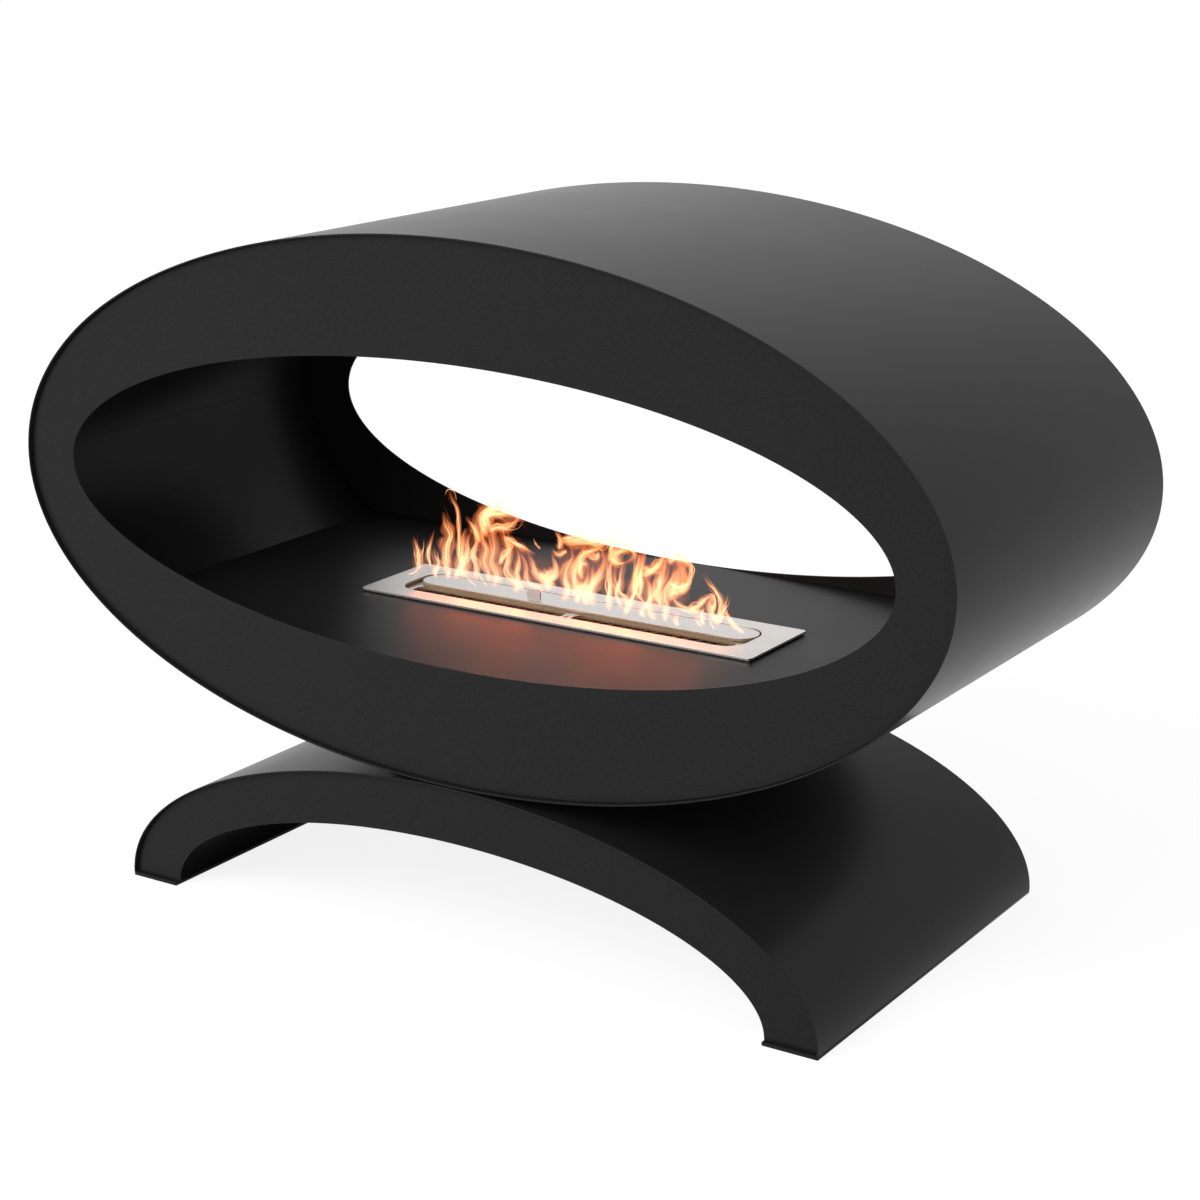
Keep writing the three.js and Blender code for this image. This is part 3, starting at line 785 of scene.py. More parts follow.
# All in millimetres, apart from counts of facets
SHARP_CORNER = 0.002  # a corner that is sharp to the eye, where the deck's halves meet
DECK_LIP = 0.4  # radius over which the deck turns down into a slot
LIP_STEPS = 5  # facets across it
RIM_BEVEL = 0.2  # on the lower edge of a slot's rim
RIM_FILLET = 0.6  # between the rim and the deck's under side
DECK_WELD = 0.01  # closer than this, the points of the deck's two halves become one
WOOL_CORNER = 6.2  # radius of the wool block's corners
WOOL_STEPS = 8  # facets in each of them
WOOL_WAVE = 0.6  # height of each of the waves in the wool's top
WOOL_SINK = 1.5  # from the highest that they may reach down to their middle


class HEARTH_OT_burner_plate(bpy.types.Operator):
    """Cuts the burner's stainless plate with its long window"""

    bl_idname = "hearth.burner_plate"
    bl_label = "Burner plate"

    def execute(self, context):
        sizes = settings("hearth_sizes")
        burner = settings("burner_sizes")
        steps = sizes.corner_steps
        outer = outline((PLATE_HIGH - PLATE_LOW)[:2], burner.plate_corner / MM, steps)
        opening = (burner.window_length / MM, burner.window_width / MM)
        window = outline(opening, burner.window_corner / MM, steps)
        rebate = (burner.plate_rebate_width / MM, burner.plate_rebate_height / MM)
        points = band(
            outer, lambda offset: window(-offset), PLATE_LOW[2], PLATE_HIGH[2],
            sizes.steel_edge / MM, sizes.edge_steps, rebate)
        plate = surface(points, closed=True)
        steel = material_of(stainless_steel)
        add_piece("burner_plate_cut", [plate], steel, "burner", "stainless", "burner_top_plate")
        return {"FINISHED"}


def deck_half(side):
    """Half of the deck round one slot, whose rim is drawn down.

    Formula: rings from the half's border over the slot's round lip, down its rim and back under
    the deck, each ring the slot's outline moved out by the lip's or the rim's offset. The faces
    where the halves meet are left out.
    """
    burner = settings("burner_sizes")
    steps = settings("hearth_sizes").corner_steps
    long, wide, rim = (size / MM for size in (burner.slot_length, burner.slot_width, burner.slot_rim))
    middle = ((long + burner.slot_bridge / MM) / 2, (NET_LOW[1] + NET_HIGH[1]) / 2)
    slot = outline((long, wide), wide / 2, steps, middle)
    corner = burner.deck_corner / MM
    border = rounded_loop(
        (0, DECK_LOW[1]), DECK_HIGH[:2], (corner, SHARP_CORNER, SHARP_CORNER, corner), steps)
    top = DECK_HIGH[2]
    foot = DECK_LOW[2]
    under = top - burner.deck_sheet / MM
    turn = np.linspace(0, np.pi / 2, LIP_STEPS + 1)
    lip = [(DECK_LIP * (1 - math.sin(t)), top - DECK_LIP * (1 - math.cos(t))) for t in turn]
    rings = [
        (2 * DECK_LIP, top), *lip, (0, foot + RIM_BEVEL), (RIM_BEVEL, foot),
        (rim - RIM_BEVEL, foot), (rim, foot + RIM_BEVEL), (rim, under - RIM_FILLET),
        (rim + RIM_FILLET, under), (rim + 2 * RIM_FILLET, under)]
    columns = [at_level(slot(-out), level) for out, level in rings]
    points = np.stack([at_level(border, top), *columns, at_level(border, under)], axis=1)
    vertices, quads, caps = surface(points * [side, 1, 1], closed=True)
    on_middle = np.abs(vertices[:, 0]) < 2 * SHARP_CORNER
    return vertices, quads[~on_middle[quads].all(axis=1)], caps


def wool_block():
    """The wool: rounded outlines drawn in towards the middle, on a top that rolls gently.

    Formula: the level of the top is a sum of three sine waves of 17, 29 and 43 mm, on the rings
    that lie within a millimetre of it.
    """
    low, high = box_mm("burner_wool")
    foot = low[2]
    top = high[2] - WOOL_SINK
    curve = outline((high - low)[:2], WOOL_CORNER, WOOL_STEPS, ((low + high) / 2)[:2])
    insets = [30, 15, 1, 0, 0, 0.4, 1.5, 4, 9, 15, 22, 29, 33]
    levels = [foot, foot, foot, foot + 1, top - 3, top - 1.5, top - 0.4] + [top] * 6
    rings = []
    for inset, level in zip(insets, levels):
        ring = curve(inset)
        waves = sum(np.sin(ring[:, 0] * 2 * np.pi / long + ring[:, 1] / 7) for long in (17, 29, 43))
        rings.append(at_level(ring, level + (WOOL_WAVE * waves if level > top - 1 else 0)))
    return surface(np.stack(rings))


class HEARTH_OT_deck(bpy.types.Operator):
    """Presses the deck with its two lipped slots, and fills the tank under it"""

    bl_idname = "hearth.deck"
    bl_label = "Deck, tank and wool"

    def execute(self, context):
        steel = material_of(stainless_steel)
        halves = [deck_half(side) for side in (-1, 1)]
        deck = add_piece("burner_deck_pressed", halves, steel, "burner", "stainless", "burner_deck")
        merge_vertices(deck, DECK_WELD)
        wool = material_of(ceramic_wool)
        block = [wool_block()]
        add_piece("burner_wool_block", block, wool, "burner", "ceramic_wool", "burner_wool")
        finish_solid("burner_tank", steel)
        return {"FINISHED"}


NET_ROWS = 3  # diamonds across the net
NET_MARGIN = 1.5  # from the net's long edges to where its outer strands reach
NET_THICK = 0.7  # thickness of a strand
NET_TILT = 0.55  # radians by which a strand leans at its steepest
STRAND_CORNER = 0.15  # radius of its corners
STRAND_STEPS = 12  # along one diamond
NET_SPARE = 0.3  # share of a diamond that is left over at the net's ends at the least


def net_strand(middle, phase, columns, pitch, reach):
    """One zigzag strand of expanded metal.

    Formula: a flat bar carried along a rounded triangle wave across the net, which is a sine
    less 0.11 of its third harmonic, tilted to one side on the way up and to the other on the
    way down, as the slitting tool leaves it.
    """
    t = np.arange(columns * STRAND_STEPS + 1) / STRAND_STEPS
    angle = 2 * np.pi * (t + phase)
    x = (t - columns / 2) * pitch
    y = middle + reach * (np.sin(angle) - 0.11 * np.sin(3 * angle))
    tilt = NET_TILT * np.cos(angle)[:, None]
    corner = np.array([settings("burner_sizes").net_strand / MM / 2, NET_THICK / 2])
    bar = rounded_loop(-corner, corner, STRAND_CORNER, 1)
    along = np.stack([np.gradient(x), np.gradient(y)], axis=-1)
    along /= np.linalg.norm(along, axis=1, keepdims=True)
    side = np.stack([-along[:, 1], along[:, 0], np.zeros_like(t)], axis=-1)
    up = np.array([0, 0, 1.0])
    flat = np.cos(tilt) * side + np.sin(tilt) * up
    tall = np.cos(tilt) * up - np.sin(tilt) * side
    centre = at_level(np.stack([x, y], axis=-1), (NET_LOW[2] + NET_HIGH[2]) / 2)
    points = centre[:, None] + bar[None, :, :1] * flat[:, None] + bar[None, :, 1:] * tall[:, None]
    return surface(points)


class HEARTH_OT_net(bpy.types.Operator):
    """Draws out the diamond net under the slots"""

    bl_idname = "hearth.net"
    bl_label = "Diamond net"

    def execute(self, context):
        pitch = settings("burner_sizes").net_pitch / MM
        size = NET_HIGH - NET_LOW
        columns = round(size[0] / pitch - NET_SPARE)
        spread = (size[1] - 2 * NET_MARGIN) / (2 * NET_ROWS)
        strands = []
        for row in range(2 * NET_ROWS):
            middle = NET_LOW[1] + NET_MARGIN + spread * (row + 0.5)
            strands.append(net_strand(middle, row % 2 / 2, columns, pitch, spread / 2))
        steel = material_of(net_steel)
        add_piece("burner_net_expanded", strands, steel, "burner", "net_steel", "burner_net")
        return {"FINISHED"}


SHUTTER_FOOT_EDGE = 0.08  # the burr-free lower edge, which all but closes on the deck
END_FLAT = 0.5  # by how much the radius of the shutter's ends is less than half its width


class HEARTH_OT_shutter(bpy.types.Operator):
    """Cuts the sliding shutter and the lug that draws it"""

    bl_idname = "hearth.shutter"
    bl_label = "Shutter"

    def execute(self, context):
        sizes = settings("hearth_sizes")
        edge = sizes.steel_edge / MM
        size = SHUTTER_HIGH - SHUTTER_LOW
        middle = (SHUTTER_LOW + SHUTTER_HIGH) / 2
        curve = outline(size[:2], size[1] / 2 - END_FLAT, sizes.corner_steps, middle[:2])
        rings = slab(
            curve, SHUTTER_LOW[2], SHUTTER_HIGH[2], edge, sizes.edge_steps, SHUTTER_FOOT_EDGE)
        plate = surface(rings)
        steel = material_of(stainless_steel)
        add_piece("shutter_plate_cut", [plate], steel, "shutter", "stainless", "shutter_plate")

        low, high = box_mm("shutter_lug")
        corner = settings("burner_sizes").lug_corner / MM
        middle = ((low + high) / 2)[[0, 2]]
        curve = outline((high - low)[[0, 2]], corner, sizes.corner_steps // 2, middle)
        lug = surface(upright(slab(curve, low[1], high[1], edge, sizes.edge_steps)))
        steel = material_of(coarse_steel)
        add_piece("shutter_lug_cut", [lug], steel, "shutter", "stainless", "shutter_lug")
        return {"FINISHED"}


# ---------------------------------------------------------------- the flames

# Each entry is a flame's greatest half width, its glow, and points listed from its foot
# to its tip: millimetres across from the burner's middle, and above the burner's plate. The first
# ones of each clump are wide faint veils, and the others are its tongues.
FLAMES = {
    "flames_left": [
        (14, 0.16, [(-172, 2), (-171, 14), (-172, 24)]),
        (2.8, 1.0, [(-169, 8), (-172, 19), (-175, 27), (-180, 37)]),
        (1.3, 1.0, [(-166, 12), (-169, 22), (-169, 29), (-170, 37)]),
        (2.4, 1.0, [(-156, 12), (-163, 22), (-163, 31), (-160, 44)]),
        (2.6, 1.0, [(-149, 5), (-152, 11), (-150, 17), (-156, 23), (-161, 33)]),
        (1.0, 1.0, [(-180, 4), (-174, 6), (-169, 11), (-168, 18)]),
    ],
    "flames_first": [
        (24, 0.18, [(-130, 2), (-134, 28), (-134, 58)]),
        (20, 0.18, [(-110, 3), (-112, 32), (-113, 60)]),
        (5.0, 1.15, [(-139, 10), (-143, 32), (-141, 43), (-145, 54), (-148, 64)]),
        (1.5, 1.0, [(-130, 25), (-131, 40), (-132, 55), (-135, 68), (-140, 77), (-143, 88)]),
        (1.2, 1.0, [(-135, 74), (-138, 83), (-145, 84), (-149, 77)]),
        (3.6, 1.0, [(-136, 5), (-138, 13), (-143, 22), (-145, 32), (-136, 45)]),
        (6.5, 1.15, [(-119, 8), (-122, 16), (-127, 27), (-128, 38), (-124, 52)]),
        (5.0, 1.15, [(-128, 6), (-126, 16), (-121, 28), (-122, 40), (-118, 50)]),
        (4.2, 1.0, [(-106, 9), (-109, 21), (-114, 30), (-111, 42), (-116, 53)]),
        (1.1, 1.0, [(-102, 3), (-111, 7), (-119, 12), (-122, 20)]),
        (1.1, 1.0, [(-92, 5), (-100, 10), (-107, 16), (-110, 24)]),
    ],
    "flames_second": [
        (26, 0.19, [(-86, 3), (-91, 35), (-90, 76)]),
        (22, 0.18, [(-62, 2), (-63, 24), (-68, 52)]),
        (22, 0.16, [(-36, 5), (-42, 20), (-44, 40)]),
        (2.6, 1.0, [(-108, 40), (-113, 49), (-118, 55), (-125, 62)]),
        (2.4, 1.0, [(-93, 8), (-95, 16), (-102, 25), (-101, 36), (-106, 47), (-104, 64), (-112, 78)]),
        (4.6, 1.0, [(-86, 5), (-86, 16), (-94, 26), (-93, 39), (-98, 56), (-104, 70)]),
        (6.0, 1.15, [(-100, 45), (-108, 60), (-100, 70), (-88, 80), (-80, 92)]),
        (7.0, 1.15, [(-98, 50), (-103, 66), (-88, 72), (-75, 70), (-60, 66)]),
        (4.0, 1.0, [(-100, 52), (-92, 57), (-80, 59), (-70, 66), (-62, 80)]),
        (3.2, 1.0, [(-84, 24), (-83, 31), (-77, 40), (-82, 48), (-88, 62)]),
        (3.0, 1.0, [(-53, 8), (-61, 12), (-75, 21), (-75, 32), (-75, 43), (-79, 57)]),
        (2.4, 1.0, [(-84, 50), (-73, 46), (-60, 42), (-48, 38)]),
        (2.8, 1.0, [(-62, 3), (-62, 12), (-65, 19), (-65, 27), (-66, 36), (-72, 46)]),
        (2.2, 1.0, [(-33, 12), (-48, 13), (-54, 19), (-57, 30), (-67, 41)]),
        (3.0, 1.0, [(-19, 14), (-36, 18), (-46, 24), (-51, 32), (-59, 43)]),
        (5.0, 1.15, [(-43, 22), (-34, 22), (-27, 29), (-33, 41)]),
        (4.0, 1.0, [(-28, 10), (-32, 18), (-25, 24), (-27, 36)]),
        (1.4, 1.0, [(-43, 44), (-49, 48), (-52, 53)]),
    ],
    "flames_third": [
        (24, 0.19, [(-12, 2), (-11, 28), (-10, 60)]),
        (26, 0.2, [(8, 2), (12, 28), (16, 64)]),
        (20, 0.18, [(34, 2), (34, 28), (36, 58)]),
        (2.2, 1.0, [(-24, 46), (-23, 55), (-29, 64)]),
        (1.8, 1.0, [(-15, 47), (-25, 42), (-32, 46)]),
        (5.5, 1.15, [(-26, 54), (-10, 57), (3, 58), (17, 58), (30, 64), (38, 76)]),
        (3.4, 1.0, [(-12, 4), (-9, 14), (-14, 22), (-14, 33), (-9, 43), (-14, 60)]),
        (5.0, 1.15, [(0, 8), (-3, 18), (-7, 29), (-3, 42), (3, 56)]),
        (2.0, 1.0, [(18, 50), (15, 44), (7, 45), (-4, 55)]),
        (2.0, 1.0, [(5, 24), (-1, 30), (-1, 36), (5, 38), (9, 30)]),
        (4.6, 1.0, [(21, 3), (14, 15), (15, 23), (20, 33), (23, 44), (15, 62)]),
        (6.0, 1.15, [(2, 4), (3, 15), (8, 22), (10, 34)]),
        (5.5, 1.15, [(14, 4), (10, 14), (14, 24), (12, 38)]),
        (3.2, 1.0, [(37, 3), (33, 12), (32, 21), (29, 32), (30, 43), (33, 54)]),
        (3.0, 1.0, [(45, 45), (36, 43), (29, 47), (32, 52), (43, 55), (52, 50)]),
        (2.6, 1.0, [(50, 6), (40, 17), (41, 26), (42, 38), (45, 48)]),
        (2.6, 1.0, [(55, 3), (51, 13), (42, 20), (36, 30), (36, 44)]),
        (3.2, 1.0, [(51, 2), (54, 10), (57, 24), (60, 36), (62, 48), (65, 68)]),
        (2.4, 1.0, [(71, 13), (58, 23), (58, 34), (55, 45), (57, 60)]),
        (3.4, 1.0, [(29, 46), (30, 57), (38, 60), (48, 58), (53, 52), (47, 46), (37, 42)]),
        (4.4, 0.9, [(36, 40), (34, 49), (42, 55), (50, 54)]),
        (3.0, 1.0, [(55, 19), (55, 33), (57, 45), (59, 60)]),
        (3.4, 1.0, [(3, 25), (-2, 36), (2, 46), (14, 52), (26, 60)]),
    ],
    "flames_right": [
        (20, 0.17, [(60, 2), (60, 28), (60, 60)]),
        (24, 0.19, [(80, 2), (81, 28), (87, 62)]),
        (22, 0.18, [(97, 3), (100, 26), (105, 56)]),
        (20, 0.14, [(122, 2), (125, 13), (130, 30)]),
        (12, 0.13, [(143, 2), (144, 13), (143, 32)]),
        (3.4, 1.0, [(62, 36), (69, 40), (78, 47), (84, 62)]),
        (3.2, 1.0, [(85, 2), (76, 9), (73, 22), (70, 32), (62, 43)]),
        (2.6, 1.0, [(74, 4), (68, 8), (75, 21), (75, 31), (78, 44)]),
        (5.0, 1.15, [(88, 12), (81, 22), (81, 32), (84, 44), (88, 66)]),
        (4.0, 1.0, [(86, 50), (94, 56), (104, 54), (110, 46)]),
        (6.5, 1.15, [(92, 18), (94, 30), (101, 30), (108, 38), (100, 54)]),
        (3.4, 1.0, [(93, 2), (91, 9), (90, 17), (87, 27), (93, 39), (97, 51)]),
        (2.6, 1.0, [(126, 16), (112, 15), (100, 18), (89, 28)]),
        (3.2, 1.0, [(112, 16), (120, 19), (127, 26), (136, 31)]),
        (3.0, 1.0, [(143, 8), (136, 14), (131, 22), (135, 31)]),
        (2.2, 1.0, [(142, 6), (142, 18), (141, 27), (136, 34), (128, 40), (121, 48)]),
        (1.7, 1.0, [(144, 8), (145, 15), (146, 23), (147, 33)]),
        (1.6, 1.0, [(171, 4), (157, 10), (150, 17), (143, 27)]),
        (1.1, 1.0, [(129, 3), (123, 7), (118, 12)]),
        (1.1, 1.0, [(141, 4), (138, 7), (133, 12)]),
        (1.6, 1.0, [(107, 2), (103, 5), (103, 12)]),
        (2.0, 1.0, [(129, 5), (126, 12), (125, 20)]),
        (2.2, 1.0, [(98, 28), (105, 31), (110, 42), (109, 52), (98, 57), (90, 60)]),
        (8.0, 0.6, [(94, 26), (98, 38), (100, 50), (96, 60)]),
        (3.0, 1.0, [(63, 16), (62, 30), (60, 42), (63, 60)]),
        (3.0, 1.0, [(60, 44), (70, 42), (76, 47), (82, 55), (87, 66)]),
        (2.0, 1.0, [(134, 14), (136, 24), (131, 30), (125, 26)]),
    ],
}

# Lengths are in millimetres
FLAME_STEPS = 44  # along a flame
FLAME_ROUND = 18  # round a flame
FLAME_THICK = 0.3  # of its width
FLAME_ROOT = -9.0  # where the flames leave the slots, from the burner's middle line
FLAME_LEAN = 20.0  # how far the draught carries them to the rear
FLAME_BEND = 28.0  # and the height over which it does
FLAME_FOOT = 1.2  # from the burner's plate up to the lowest flame
VEIL_GLOW = 0.5  # what glows less is a veil, and has no body or wisps
THIN = 1.5  # nor has what has a smaller half width
WISPS = 3  # beside each tongue
WISP_FOOT = 1.5  # height above the plate below which no wisp strays
BODY_WIDER = 1.5  # a tongue's soft body is so many times its width
BODY_MORE = 1.5  # and this much wider
BODY_GLOW = 0.55  # and has this share of its glow


def smooth_path(points, number):
    """A curve through points: on each stretch the cubic whose slope at a point is half the way
    between its neighbours, sampled evenly from the first point to the last."""
    points = np.asarray(points, float)
    padded = np.vstack([2 * points[0] - points[1], points, 2 * points[-1] - points[-2]])
    t = np.linspace(0, len(points) - 1, number)
    k = np.minimum(t.astype(int), len(points) - 2)
    f = (t - k)[:, None]
    p0, p1, p2, p3 = (padded[k + i] for i in range(4))
    bend = 2 * p0 - 5 * p1 + 4 * p2 - p3
    twist = 3 * p1 - p0 - 3 * p2 + p3
    return 0.5 * (2 * p1 + (p2 - p0) * f + bend * f ** 2 + twist * f ** 3)


def tongue(half_width, points, chance):
    """One tongue of flame.

    Formula: a flat lens carried along a curve through the points, with a half width of
    sin(pi s^0.62)^0.8 of the greatest at the share s of the way, a ripple of 22 % on it, and
    never more than 0.6 of the height. It turns slowly about the curve, by up to 1.3 radians,
    leans to the rear with height, and strays by up to 3 mm from there. Returns its rings and,
    for each point, its place along and across as shares, and the same in millimetres.
    """
    path = smooth_path(points, FLAME_STEPS)
    share = np.linspace(0, 1, FLAME_STEPS)
    height = np.maximum(path[:, 1], 0) + FLAME_FOOT
    lean = FLAME_LEAN * (1 - np.exp(-height / FLAME_BEND))
    depth = FLAME_ROOT + lean + chance.uniform(-3, 3) * share
    centre = np.stack([path[:, 0], depth, PLATE_HIGH[2] + height], axis=-1)
    along = np.gradient(centre, axis=0)
    along /= np.linalg.norm(along, axis=1, keepdims=True)
    turn = (chance.uniform(-0.5, 0.5) + chance.uniform(-0.8, 0.8) * share)[:, None]
    flat = np.cross([0, 1.0, 0], along)
    flat /= np.linalg.norm(flat, axis=1, keepdims=True)
    across = np.cos(turn) * flat + np.sin(turn) * np.cross(along, flat)
    thick = np.cross(along, across)
    swell = np.sin(np.pi * share ** 0.62) ** 0.8
    ripple = 1 + 0.22 * np.sin(2 * np.pi * (chance.uniform(1.5, 3) * share + chance.uniform()))
    width = half_width * np.maximum(swell * ripple, 0.01)
    width = np.minimum(width, 0.6 * height)[:, None]
    circle = np.linspace(0, 2 * np.pi, FLAME_ROUND, endpoint=False)
    side = np.cos(circle)[None, :]
    wide = (width * side)[..., None] * across[:, None]
    deep = (FLAME_THICK * width * np.sin(circle))[..., None] * thick[:, None]
    run = np.cumsum(np.linalg.norm(np.diff(centre, axis=0, prepend=centre[:1]), axis=1))
    level = np.ones_like(side)
    places = {
        "along": share[:, None] * level,
        "across": np.ones_like(width) * side,
        "run": run[:, None] * level,
        "wide": width * side,
    }
    return centre[:, None] + wide + deep, places


def with_wisps(flames, chance):
    """The flames, and round each of the brighter ones a wider, thinner body of flame, and
    wisps that stray from its path.

    Formula: each point of a tongue's path is moved by a normally distributed step of 0.8 mm and
    0.35 of its half width, which grows from 0.6 to 1.4 times that towards the tip.
    """
    drawn = list(flames)
    for half_width, glow, points in flames:
        if glow < VEIL_GLOW or half_width < THIN:
            continue
        drawn.append((BODY_WIDER * half_width + BODY_MORE, BODY_GLOW * glow, points))
        for _ in range(WISPS):
            stray = np.linspace(0.6, 1.4, len(points))[:, None] * (0.8 + 0.35 * half_width)
            path = np.asarray(points) + stray * chance.normal(size=(len(points), 2))
            path[:, 1] = np.maximum(path[:, 1], WISP_FOOT)
            drawn.append((chance.uniform(0.45, 0.9), glow * chance.uniform(0.6, 0.95), path))
    return drawn


class HEARTH_OT_flames(bpy.types.Operator):
    """Lights the burner: five clumps of flame over the slots"""

    bl_idname = "hearth.flames"
    bl_label = "Flames"

    def execute(self, context):
        fire = material_of(flame)
        for number, (name, flames) in enumerate(FLAMES.items()):
            chance = np.random.default_rng(number)
            surfaces, values = [], []
            for half_width, glow, points in with_wisps(flames, chance):
                rings, places = tongue(half_width, points, chance)
                surfaces.append(surface(rings))
                places["glow"] = np.full(rings.shape[:2], glow)
                places["seed"] = np.full(rings.shape[:2], chance.uniform(0, 10))
                values.append(places)
            clump = add_piece(name, surfaces, fire, "burner", "stainless")
            for title in values[0]:
                value = np.concatenate([places[title].ravel() for places in values])
                attribute = clump.data.attributes.new(title, "FLOAT", "POINT")
                attribute.data.foreach_set("value", value.astype(np.float32))
            clump.visible_diffuse = False
            clump.visible_shadow = False
        return {"FINISHED"}


# ---------------------------------------------------------------- the stage

# The camera's place in metres and how it is turned in degrees, in the object's frame
CAMERA_PLACE = (1.18137, -1.80581, 0.88354)
CAMERA_YAW = -32.750
CAMERA_PITCH = -16.430
CAMERA_SHIFT = (0.00275, 0.01645)
FLOOR_HALF = 12.0  # metres from the studio floor's middle to its sides
WHITE = (1, 1, 1, 1)
FLOOR_SHOWN = (0.3, 0.3, 0.3, 1)  # the floor's dull colour to the eye, which carries the shadow
FLOOR_LIFT = 0.86  # and the light of its own that makes it white
FLOOR_PLAIN = (0.8, 0.8, 0.8, 1)  # its colour to light on dull surfaces
STUDIO_LAMP = (-1.3, -3.2, 2.2)  # metres
STUDIO_AIM = (0, 0, 0.3)
STUDIO_SIZE = 2.5  # metres
# Where the flames' lamps hang along the burner, in millimetres, and their share of the glow
GLOW_PLACES = ((-118, 0.5), (-75, 1.0), (-20, 0.7), (35, 1.0), (95, 0.6))
GLOW_HEIGHT = 20  # millimetres above the burner's plate
GLOW_SIZE = (0.1, 0.05)  # metres
# To each side, how far back the lamps hang so that they miss the slots, their aim and their share
GLOW_SIDES = {
    "front": (-32, (0, -1, -0.5), 1.0),
    "rear": (40, (0, 1, 0.1), 0.8),
}


def seen_directly(owner):
    """One for rays that an eye, a gloss or a glass sends out, and nought for light on the dull."""
    rays = add_node(owner, "LightPath")
    total = rays["Is Camera Ray"]
    for name in ("Is Glossy Ray", "Is Transmission Ray"):
        total = add_node(owner, "Math", {0: total, 1: rays[name]}, operation="MAXIMUM")[0]
    return total


def add_world():
    """White to the eye and in gloss, with a softer even light on dull surfaces."""
    world = bpy.data.worlds.new("white_studio")
    world.use_nodes = True
    world.node_tree.nodes.clear()
    strength = add_node(world, "MapRange", {
        "Value": seen_directly(world), "To Min": settings("stage").ambient, "To Max": 1.0})
    light = add_node(world, "Background", {"Color": WHITE, "Strength": strength["Result"]})
    add_node(world, "OutputWorld", {"Surface": light["Background"]})
    bpy.context.scene.world = world


def pale_floor():
    """Matt white studio floor, which looks white to the eye but keeps a soft shadow."""
    floor = new_material("matt_white_floor")
    dull = add_node(floor, "BsdfDiffuse", {"Color": FLOOR_SHOWN})["BSDF"]
    lift = add_node(floor, "Emission", {"Color": WHITE, "Strength": FLOOR_LIFT})["Emission"]
    shown = add_node(floor, "AddShader", {0: dull, 1: lift})["Shader"]
    plain = add_node(floor, "BsdfDiffuse", {"Color": FLOOR_PLAIN})["BSDF"]
    mix = add_node(floor, "MixShader", {0: seen_directly(floor), 1: plain, 2: shown})["Shader"]
    add_node(floor, "OutputMaterial", {"Surface": mix})
    return floor


def add_lamp(name, place, target, power, size):
    """A soft lamp at a place that points to a target."""
    light = bpy.data.lights.new(name, "AREA")
    light.energy = power
    light.size = size
    lamp = bpy.data.objects.new(name, light)
    bpy.context.scene.collection.objects.link(lamp)
    aim = (Vector(target) - Vector(place)).to_track_quat("-Z", "Y")
    lamp.matrix_world = Matrix.Translation(place) @ aim.to_matrix().to_4x4()
    return lamp


def add_camera():
    """The photograph's camera."""
    yaw = math.radians(CAMERA_YAW)
    pitch = math.radians(CAMERA_PITCH)
    look = Vector((
        math.sin(yaw) * math.cos(pitch), math.cos(yaw) * math.cos(pitch), math.sin(pitch)))
    camera = bpy.data.cameras.new("photograph_camera")
    camera.lens = settings("stage").lens
    camera.sensor_width = 36.0
    camera.shift_x, camera.shift_y = CAMERA_SHIFT
    holder = bpy.data.objects.new("photograph_camera", camera)
    bpy.context.scene.collection.objects.link(holder)
    turn = look.to_track_quat("-Z", "Y").to_matrix().to_4x4()
    holder.matrix_world = Matrix.Translation(CAMERA_PLACE) @ turn
    bpy.context.scene.camera = holder


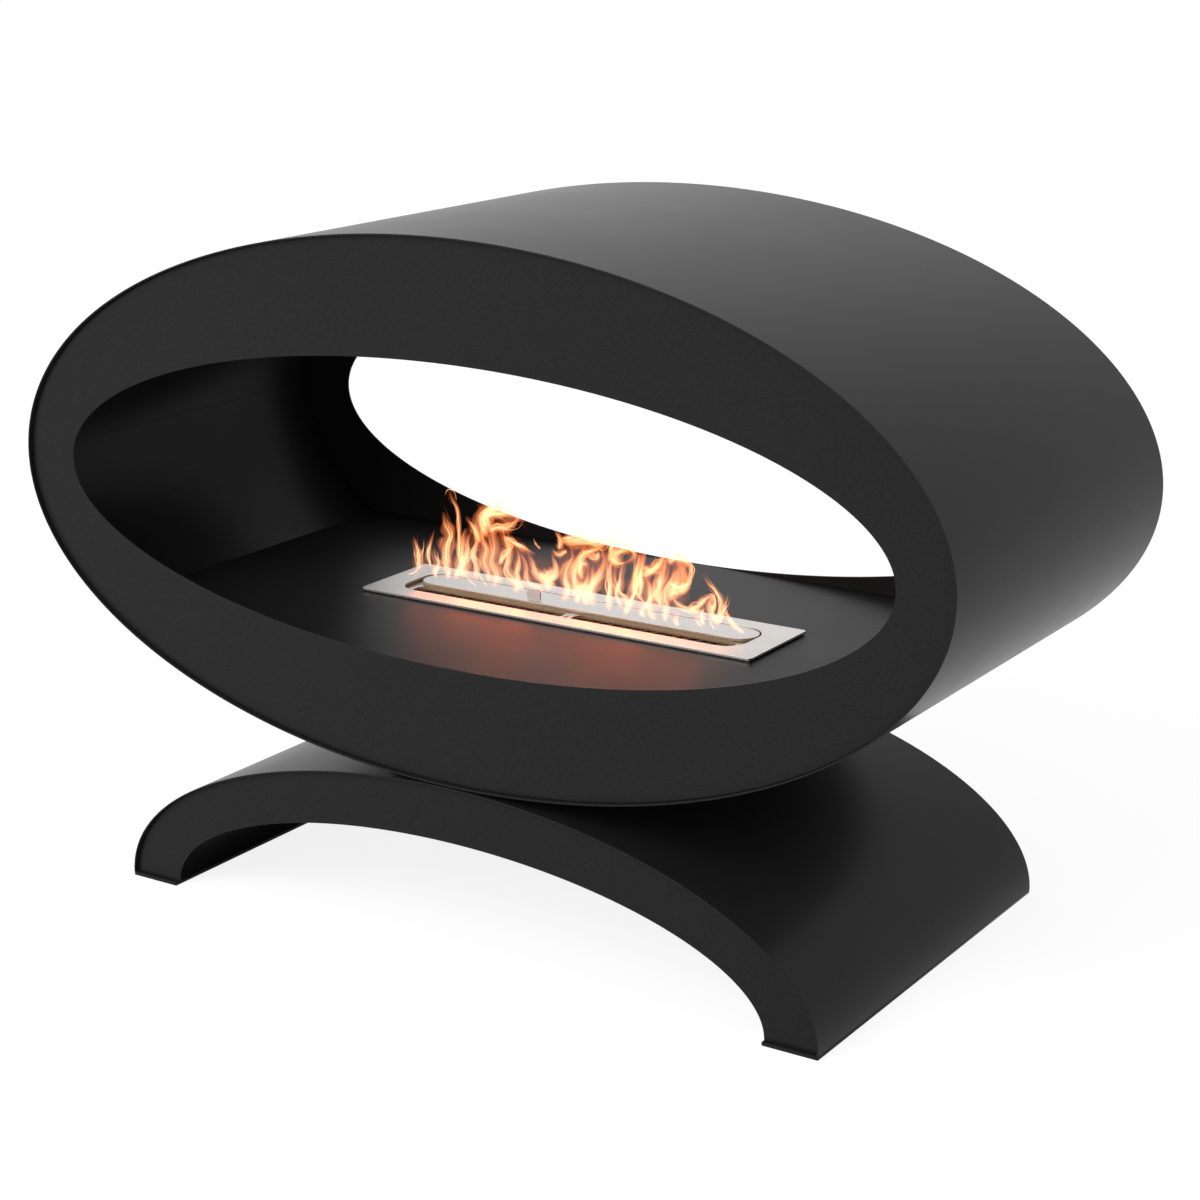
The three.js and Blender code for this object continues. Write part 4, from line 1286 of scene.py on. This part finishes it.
class HEARTH_OT_stage(bpy.types.Operator):
    """Sets up the floor, the light and the camera"""

    bl_idname = "hearth.stage"
    bl_label = "Stage"

    def execute(self, context):
        stage = settings("stage")
        mesh = bpy.data.meshes.new("studio_floor")
        signs = ((-1, -1), (1, -1), (1, 1), (-1, 1))
        mesh.from_pydata([(FLOOR_HALF * x, FLOOR_HALF * y, 0) for x, y in signs], [], [(0, 1, 2, 3)])
        mesh.materials.append(pale_floor())
        floor = bpy.data.objects.new("studio_floor", mesh)
        context.scene.collection.objects.link(floor)
        add_world()
        add_lamp("studio_lamp", STUDIO_LAMP, STUDIO_AIM, stage.lamp, STUDIO_SIZE)
        for number, (x, share) in enumerate(GLOW_PLACES, 1):
            for side, (y, aim, part) in GLOW_SIDES.items():
                place = Vector((x * MM, y * MM, (PLATE_HIGH[2] + GLOW_HEIGHT) * MM))
                power = stage.glow * share * part
                lamp = add_lamp(
                    f"glow_to_{side}_{number}", place, place + Vector(aim), power, GLOW_SIZE[0])
                lamp.data.color = paint("glow")[:3]
                lamp.data.shape = "ELLIPSE"
                lamp.data.size_y = GLOW_SIZE[1]
                lamp.visible_camera = False
        add_camera()
        context.scene.cycles.transparent_max_bounces = 64
        context.scene.view_settings.view_transform = "Standard"
        return {"FINISHED"}


# ---------------------------------------------------------------- the add-on


class HEARTH_PT_panel(bpy.types.Panel):
    """The hearth's pieces, in the order that they are made"""

    bl_idname = "HEARTH_PT_panel"
    bl_label = "Bioethanol hearth"
    bl_space_type = "VIEW_3D"
    bl_region_type = "UI"
    bl_category = "Hearth"

    def draw(self, context):
        for operator in OPERATORS:
            self.layout.operator(operator.bl_idname)
        for group in GROUPS:
            values = getattr(context.scene, group)
            for name in values.bl_rna.properties.keys():
                if name not in ("name", "rna_type"):
                    self.layout.prop(values, name)


OPERATORS = (
    HEARTH_OT_shell,
    HEARTH_OT_faces,
    HEARTH_OT_floor,
    HEARTH_OT_base,
    HEARTH_OT_joint,
    HEARTH_OT_burner_plate,
    HEARTH_OT_deck,
    HEARTH_OT_net,
    HEARTH_OT_shutter,
    HEARTH_OT_flames,
    HEARTH_OT_stage,
)
GROUPS = {
    "hearth_sizes": HearthSizes,
    "burner_sizes": BurnerSizes,
    "hearth_colours": HearthColours,
    "stage": StageSettings,
}


def register():
    """Registers the classes and gives the scene its groups of settings."""
    for kind in (*GROUPS.values(), *OPERATORS, HEARTH_PT_panel):
        bpy.utils.register_class(kind)
    for name, group in GROUPS.items():
        setattr(bpy.types.Scene, name, bpy.props.PointerProperty(type=group))


def unregister():
    """Takes the groups and the classes away again."""
    for name in GROUPS:
        delattr(bpy.types.Scene, name)
    for kind in (HEARTH_PT_panel, *reversed(OPERATORS), *GROUPS.values()):
        bpy.utils.unregister_class(kind)


def main():
    """Dresses the hearth piece by piece."""
    register()
    bpy.ops.hearth.shell()
    bpy.ops.hearth.faces()
    bpy.ops.hearth.floor()
    bpy.ops.hearth.base()
    bpy.ops.hearth.joint()
    bpy.ops.hearth.burner_plate()
    bpy.ops.hearth.deck()
    bpy.ops.hearth.net()
    bpy.ops.hearth.shutter()
    bpy.ops.hearth.flames()
    bpy.ops.hearth.stage()


if __name__ == "__main__":
    main()
